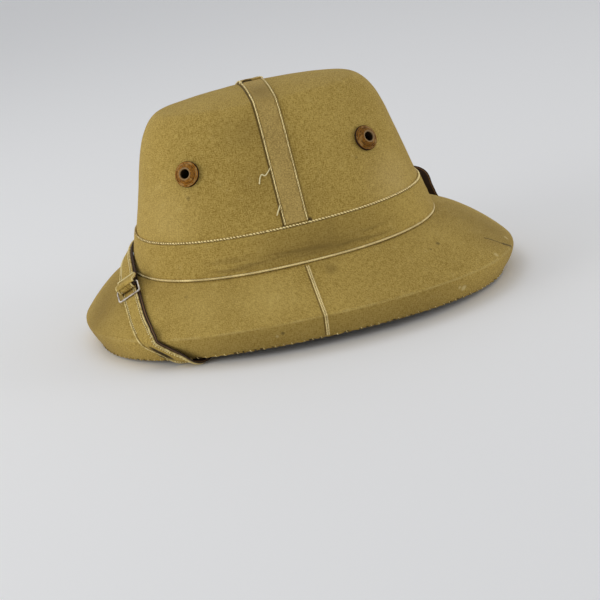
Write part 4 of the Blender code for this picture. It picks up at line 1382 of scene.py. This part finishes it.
def swept(frames, section, draw=0.0):
    """Closed section of (across, up) points carried along the strap, with flat ends."""
    def place(share, row):
        """The section at one station, drawn in and creased where the strap turns."""
        spot, _, across, up = frames[row]
        over, rise = section[round(share * (len(section) - 1))]
        rise = creased(frames[row], over, rise, draw)
        return spot + across * drawn_in(frames[row], over, draw) + up * rise

    bm = wrapped_grid(len(section) - 1, len(frames) - 1, place)
    run = run_lengths(frames)
    map_cloth(bm, len(section), lambda row, column: (section[column][0], run[row]))
    close_seams(bm)
    bmesh.ops.holes_fill(bm, edges=[edge for edge in bm.edges if edge.is_boundary])
    return bm


def leather_section():
    """Thin leather with rounded edges and a low rib along its crown side."""
    half = STRAP_WIDTH / 2
    rib = [(-half, 0.3), (-half + 0.15 * MM, 0.75), (-half + 0.45 * MM, 1.0), (-half + 0.8 * MM, 1.0),
           (-half + 1.15 * MM, 1.0), (-half + 1.5 * MM, 0.85), (-half + 2.2 * MM, 0.9)]
    top = rib + [(0, 0.95), (half - 0.5 * MM, 0.95), (half - 0.15 * MM, 0.75), (half, 0.3)]
    top = [(over, rise * LEATHER_WALL) for over, rise in top]
    return top + [(half - 0.25 * MM, 0.0), (0, 0.0), (-half + 0.25 * MM, 0.0), top[0]]


def cloth_section():
    """Cloth face turned under at both edges, where the fold stands up as a low bead."""
    half = CLOTH_WIDTH / 2
    bead = [(1.0, 0.35), (0.985, 0.9), (0.95, 1.3), (0.89, 1.35), (0.83, 1.1), (0.77, 0.62), (0.70, 0.85),
            (0.5, 1.0)]
    rises = [(-share, rise) for share, rise in bead] + [(0.0, 1.05), (0.25, 1.04)] + bead[::-1]
    top = [(CLOTH_SHIFT + share * half, LEATHER_WALL * 0.93 + rise * CLOTH_WALL) for share, rise in rises]
    base = LEATHER_WALL * 0.9
    return top + [(CLOTH_SHIFT + half * 0.97, base), (CLOTH_SHIFT - half * 0.97, base), top[0]]


def stitches(frames, seed, draw_in=0.0):
    """Short thread dashes along both edges of the cloth face."""
    draw = random.Random(seed)
    whole = bmesh.new()
    whole.loops.layers.uv.new("weave")
    run = run_lengths(frames)
    for side in (-1, 1):
        reach = 1.5 * MM
        k = 0
        while reach < run[-1] - 4 * MM:
            while run[k + 1] < reach:
                k += 1
            spot, along, across, up = frames[k]
            share = (reach - run[k]) / (run[k + 1] - run[k])
            spot = spot.lerp(frames[k + 1][0], share)
            over = CLOTH_SHIFT + side * (CLOTH_WIDTH / 2 - 2.0 * MM) + draw.uniform(-0.15, 0.15) * MM
            in_crease = side > 0 and draw_in and abs(spot.y - TURN_Y) < 0.9 * CREASE_HALF_LENGTH
            over = drawn_in(frames[k], over, draw_in)
            centre = spot + across * over + up * (LEATHER_WALL * 0.93 + CLOTH_WALL * 1.02)
            slant = along + across * draw.uniform(-0.08, 0.08)
            place = Matrix((across, slant.normalized(), up)).transposed().to_4x4()
            place.translation = centre
            stretch = STITCH_LENGTH * draw.uniform(0.85, 1.1) / 2
            shape = Matrix.Diagonal((STITCH_RADIUS, stretch, STITCH_RADIUS, 1))
            if not in_crease:
                bmesh.ops.create_icosphere(whole, subdivisions=1, radius=1.0, matrix=place @ shape)
            reach += STITCH_PITCH * draw.uniform(0.94, 1.06)
    return whole


def strap_leather():
    """Near-black brown leather, rubbed to mid brown along the rib, which painted shade keeps dark above the
    buckle.
    """
    made, tree = blank_finish("strap_leather", 0.75)
    over, _ = cloth_axes(tree)
    body = object_place(tree)
    pores = node(tree, "TexVoronoi", {"feature": "DISTANCE_TO_EDGE"}, Vector=body, Scale=1 / (0.9 * MM))
    wear = grain(tree, body, 3.5 * MM, 4.0)
    colour = tint(tree, LEATHER_DEEP, LEATHER_LIT, wear)
    rib = line_mask(tree, over, -STRAP_WIDTH / 2 + 1.0 * MM, 0.2 * MM, 0.5 * MM)
    rub = times(tree, rib, ramp(tree, wear, 0.2, 0.45))
    # Painted shade: above the buckle the rib's rub is held back.
    _, y, z = hat_axes(tree)
    rib_shade = times(tree, ramp(tree, z, *RIB_SHADE_Z), ramp(tree, y, *RIB_SHADE_Y))
    rub = times(tree, rub, calc(tree, "MULTIPLY_ADD", rib_shade, -0.75, 1.0))
    colour = tint(tree, colour, LEATHER_RUBBED, times(tree, rub, 0.9))
    finish_with(tree, colour, calc(tree, "MULTIPLY_ADD", wear, 0.6, pores), 0.12 * MM, 0.5)
    return made


def strap_wear_and_shade(tree, colour):
    """Edges of the cloth face rubbed pale, painted shade in the groove inside each bead, and painted shade
    in the crease where the tail turns over the rim.
    """
    across, _ = cloth_axes(tree)
    over = calc(tree, "ABSOLUTE", calc(tree, "SUBTRACT", across, CLOTH_SHIFT))
    rub = grain(tree, object_place(tree), 2.5 * MM)
    edge = ramp(tree, over, CLOTH_WIDTH / 2 - 1.35 * MM, CLOTH_WIDTH / 2 - 0.9 * MM)
    colour = tint(tree, colour, FACE_RUBBED, times(tree, edge, ramp(tree, rub, 0.25, 0.6)))
    # Painted shade in the groove inside each bead.
    groove_shade = line_mask(tree, over, CLOTH_WIDTH / 2 * 0.76, 0.25 * MM, 0.7 * MM)
    colour = tint(tree, colour, GRIME_AND_SHADE, times(tree, groove_shade, 0.30))
    # Painted shade in the crease where the tail turns over the rim.
    x, y, _ = hat_axes(tree)
    off_over = calc(tree, "MULTIPLY_ADD", across, 1 / CREASE_HALF_WIDTH, -CREASE_OVER / CREASE_HALF_WIDTH)
    off_along = calc(tree, "MULTIPLY_ADD", y, 1 / CREASE_HALF_LENGTH, -TURN_Y / CREASE_HALF_LENGTH)
    off = calc(tree, "MULTIPLY_ADD", off_over, off_over, times(tree, off_along, off_along))
    off = calc(tree, "MULTIPLY_ADD", rub, 0.4, off)
    crease = inverse(tree, ramp(tree, off, 0.5, 1.15))
    right_side = inverse(tree, ramp(tree, x, *TAIL_INWARDS))
    crease = times(tree, crease, right_side)
    return tint(tree, colour, CREASE_SHADE, times(tree, crease, 0.94))


leather = strap_leather()
face_drill = drill_cloth("strap_face_drill", extra=strap_wear_and_shade)
stitch_thread = plain_cotton("stitch_thread", STITCH_COTTON)
runs = {
    "chin_strap_tail": strap_frames(smooth_route(TAIL_ROUTE, 240)),
    "chin_strap": strap_frames(fold_line() + smooth_route(STRAP_ROUTE, 480)),
}


def fold_section():
    """Cloth patch a little wider than the strap, rolled at both edges."""
    half = STRAP_WIDTH / 2 + 0.4 * MM
    roll = [(1.0, 0.2), (0.97, 0.9), (0.9, 1.15), (0.8, 0.8)]
    rises = [(-share, rise) for share, rise in roll] + [(0.0, 1.0)] + roll[::-1]
    top = [(share * half, LEATHER_WALL + FOLD_OUT + rise * CLOTH_WALL) for share, rise in rises]
    low = LEATHER_WALL + FOLD_OUT - 0.5 * MM
    return top + [(half * 0.96, low), (-half * 0.96, low), top[0]]


def fold_edges(tree, colour):
    """Rolled edges of the patch rubbed pale."""
    over = calc(tree, "ABSOLUTE", cloth_axes(tree)[0])
    edge = ramp(tree, over, STRAP_WIDTH / 2 - 0.9 * MM, STRAP_WIDTH / 2 - 0.4 * MM)
    return tint(tree, colour, FACE_RUBBED, times(tree, edge, 0.8))


fold_frames = runs["chin_strap"][FOLD_FIRST:FOLD_LAST + 1]
fold_drill = drill_cloth("strap_fold_drill", extra=fold_edges)
add_piece("strap_fold_face", swept(fold_frames, fold_section()), [fold_drill], sharp_degrees=60)
spot, along, across, up = fold_frames[-1]
hem_height = LEATHER_WALL + FOLD_OUT + 1.2 * CLOTH_WALL
hem_reach = STRAP_WIDTH / 2 + 0.2 * MM
hem = [(spot + across * (hem_reach * t) + up * hem_height, up) for t in (-1, -0.5, 0, 0.5, 1)]
bm = twisted_cord(even_line(hem, 0.4 * MM), 0.5 * MM, 2 * MM)
add_piece("strap_fold_hem", bm, [stitch_thread])
for name, frames in runs.items():
    draw_in = TAIL_DRAW if name == "chin_strap_tail" else 0.0
    bm = swept(frames, leather_section())
    add_piece(name + "_leather", bm, [leather], [name], sharp_degrees=60)
    bm = swept(frames, cloth_section(), draw_in)
    add_piece(name + "_face", bm, [face_drill], sharp_degrees=60)
    add_piece(name + "_stitches", stitches(frames, name, draw_in), [stitch_thread])


# ---------------------------------------------------------------- Buckle and rivets
# A plain frame of bent nickel-plated wire, held by the strap's folded end. The tail of the strap passes
# up through it. A rivet holds each end of the strap inside the hat, over the ears.
BUCKLE_ACROSS = 18.2 * MM
BUCKLE_CORNER = 1.5 * MM
NICKEL_BRIGHT = (0.66, 0.62, 0.57)
NICKEL_DULL = (0.26, 0.20, 0.16)


def worn_nickel():
    """Thin nickel plate, finely scratched round the wire and tarnished brown in patches."""
    made, tree = blank_finish("worn_nickel", 0.35, metallic=0.9)
    body = object_place(tree)
    scratch = stretched(tree, body, (1 / (0.3 * MM), 1 / (3 * MM), 1 / (0.3 * MM)), Detail=3.0)
    tarnish = grain(tree, body, 3 * MM, 4.0)
    colour = tint(tree, NICKEL_BRIGHT, NICKEL_DULL, ramp(tree, tarnish, 0.45, 0.75))
    shader = tree.nodes["Principled BSDF"]
    tree.links.new(calc(tree, "MULTIPLY_ADD", tarnish, 0.4, 0.14), shader.inputs["Roughness"])
    finish_with(tree, colour, scratch, 0.03 * MM, 0.4)
    return made


nickel = worn_nickel()
corners = []
half_along, half_across = BUCKLE_ALONG / 2, BUCKLE_ACROSS / 2
for cx, cy, first in ((1, 1, 0), (-1, 1, 90), (-1, -1, 180), (1, -1, 270)):
    centre = Vector((cx * (half_along - BUCKLE_CORNER), cy * (half_across - BUCKLE_CORNER), 0))
    for turn in range(0, 91, 15):
        angle = math.radians(first + turn)
        spot = centre + BUCKLE_CORNER * Vector((math.cos(angle), math.sin(angle), 0))
        corners.append((spot, Vector((0, 0, 1))))
line = even_line(corners, 0.4 * MM, closed=True)
bm = twisted_cord(line, BUCKLE_WIRE, 10 * MM, depth=0.0, closed=True, facets=12)
bmesh.ops.transform(bm, matrix=BUCKLE, verts=bm.verts)
add_piece("buckle_wire", bm, [nickel], ["buckle_frame"])
for side in ("right", "left"):
    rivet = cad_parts["strap_rivet_" + side]
    rivet.data.materials.clear()
    rivet.data.materials.append(nickel)
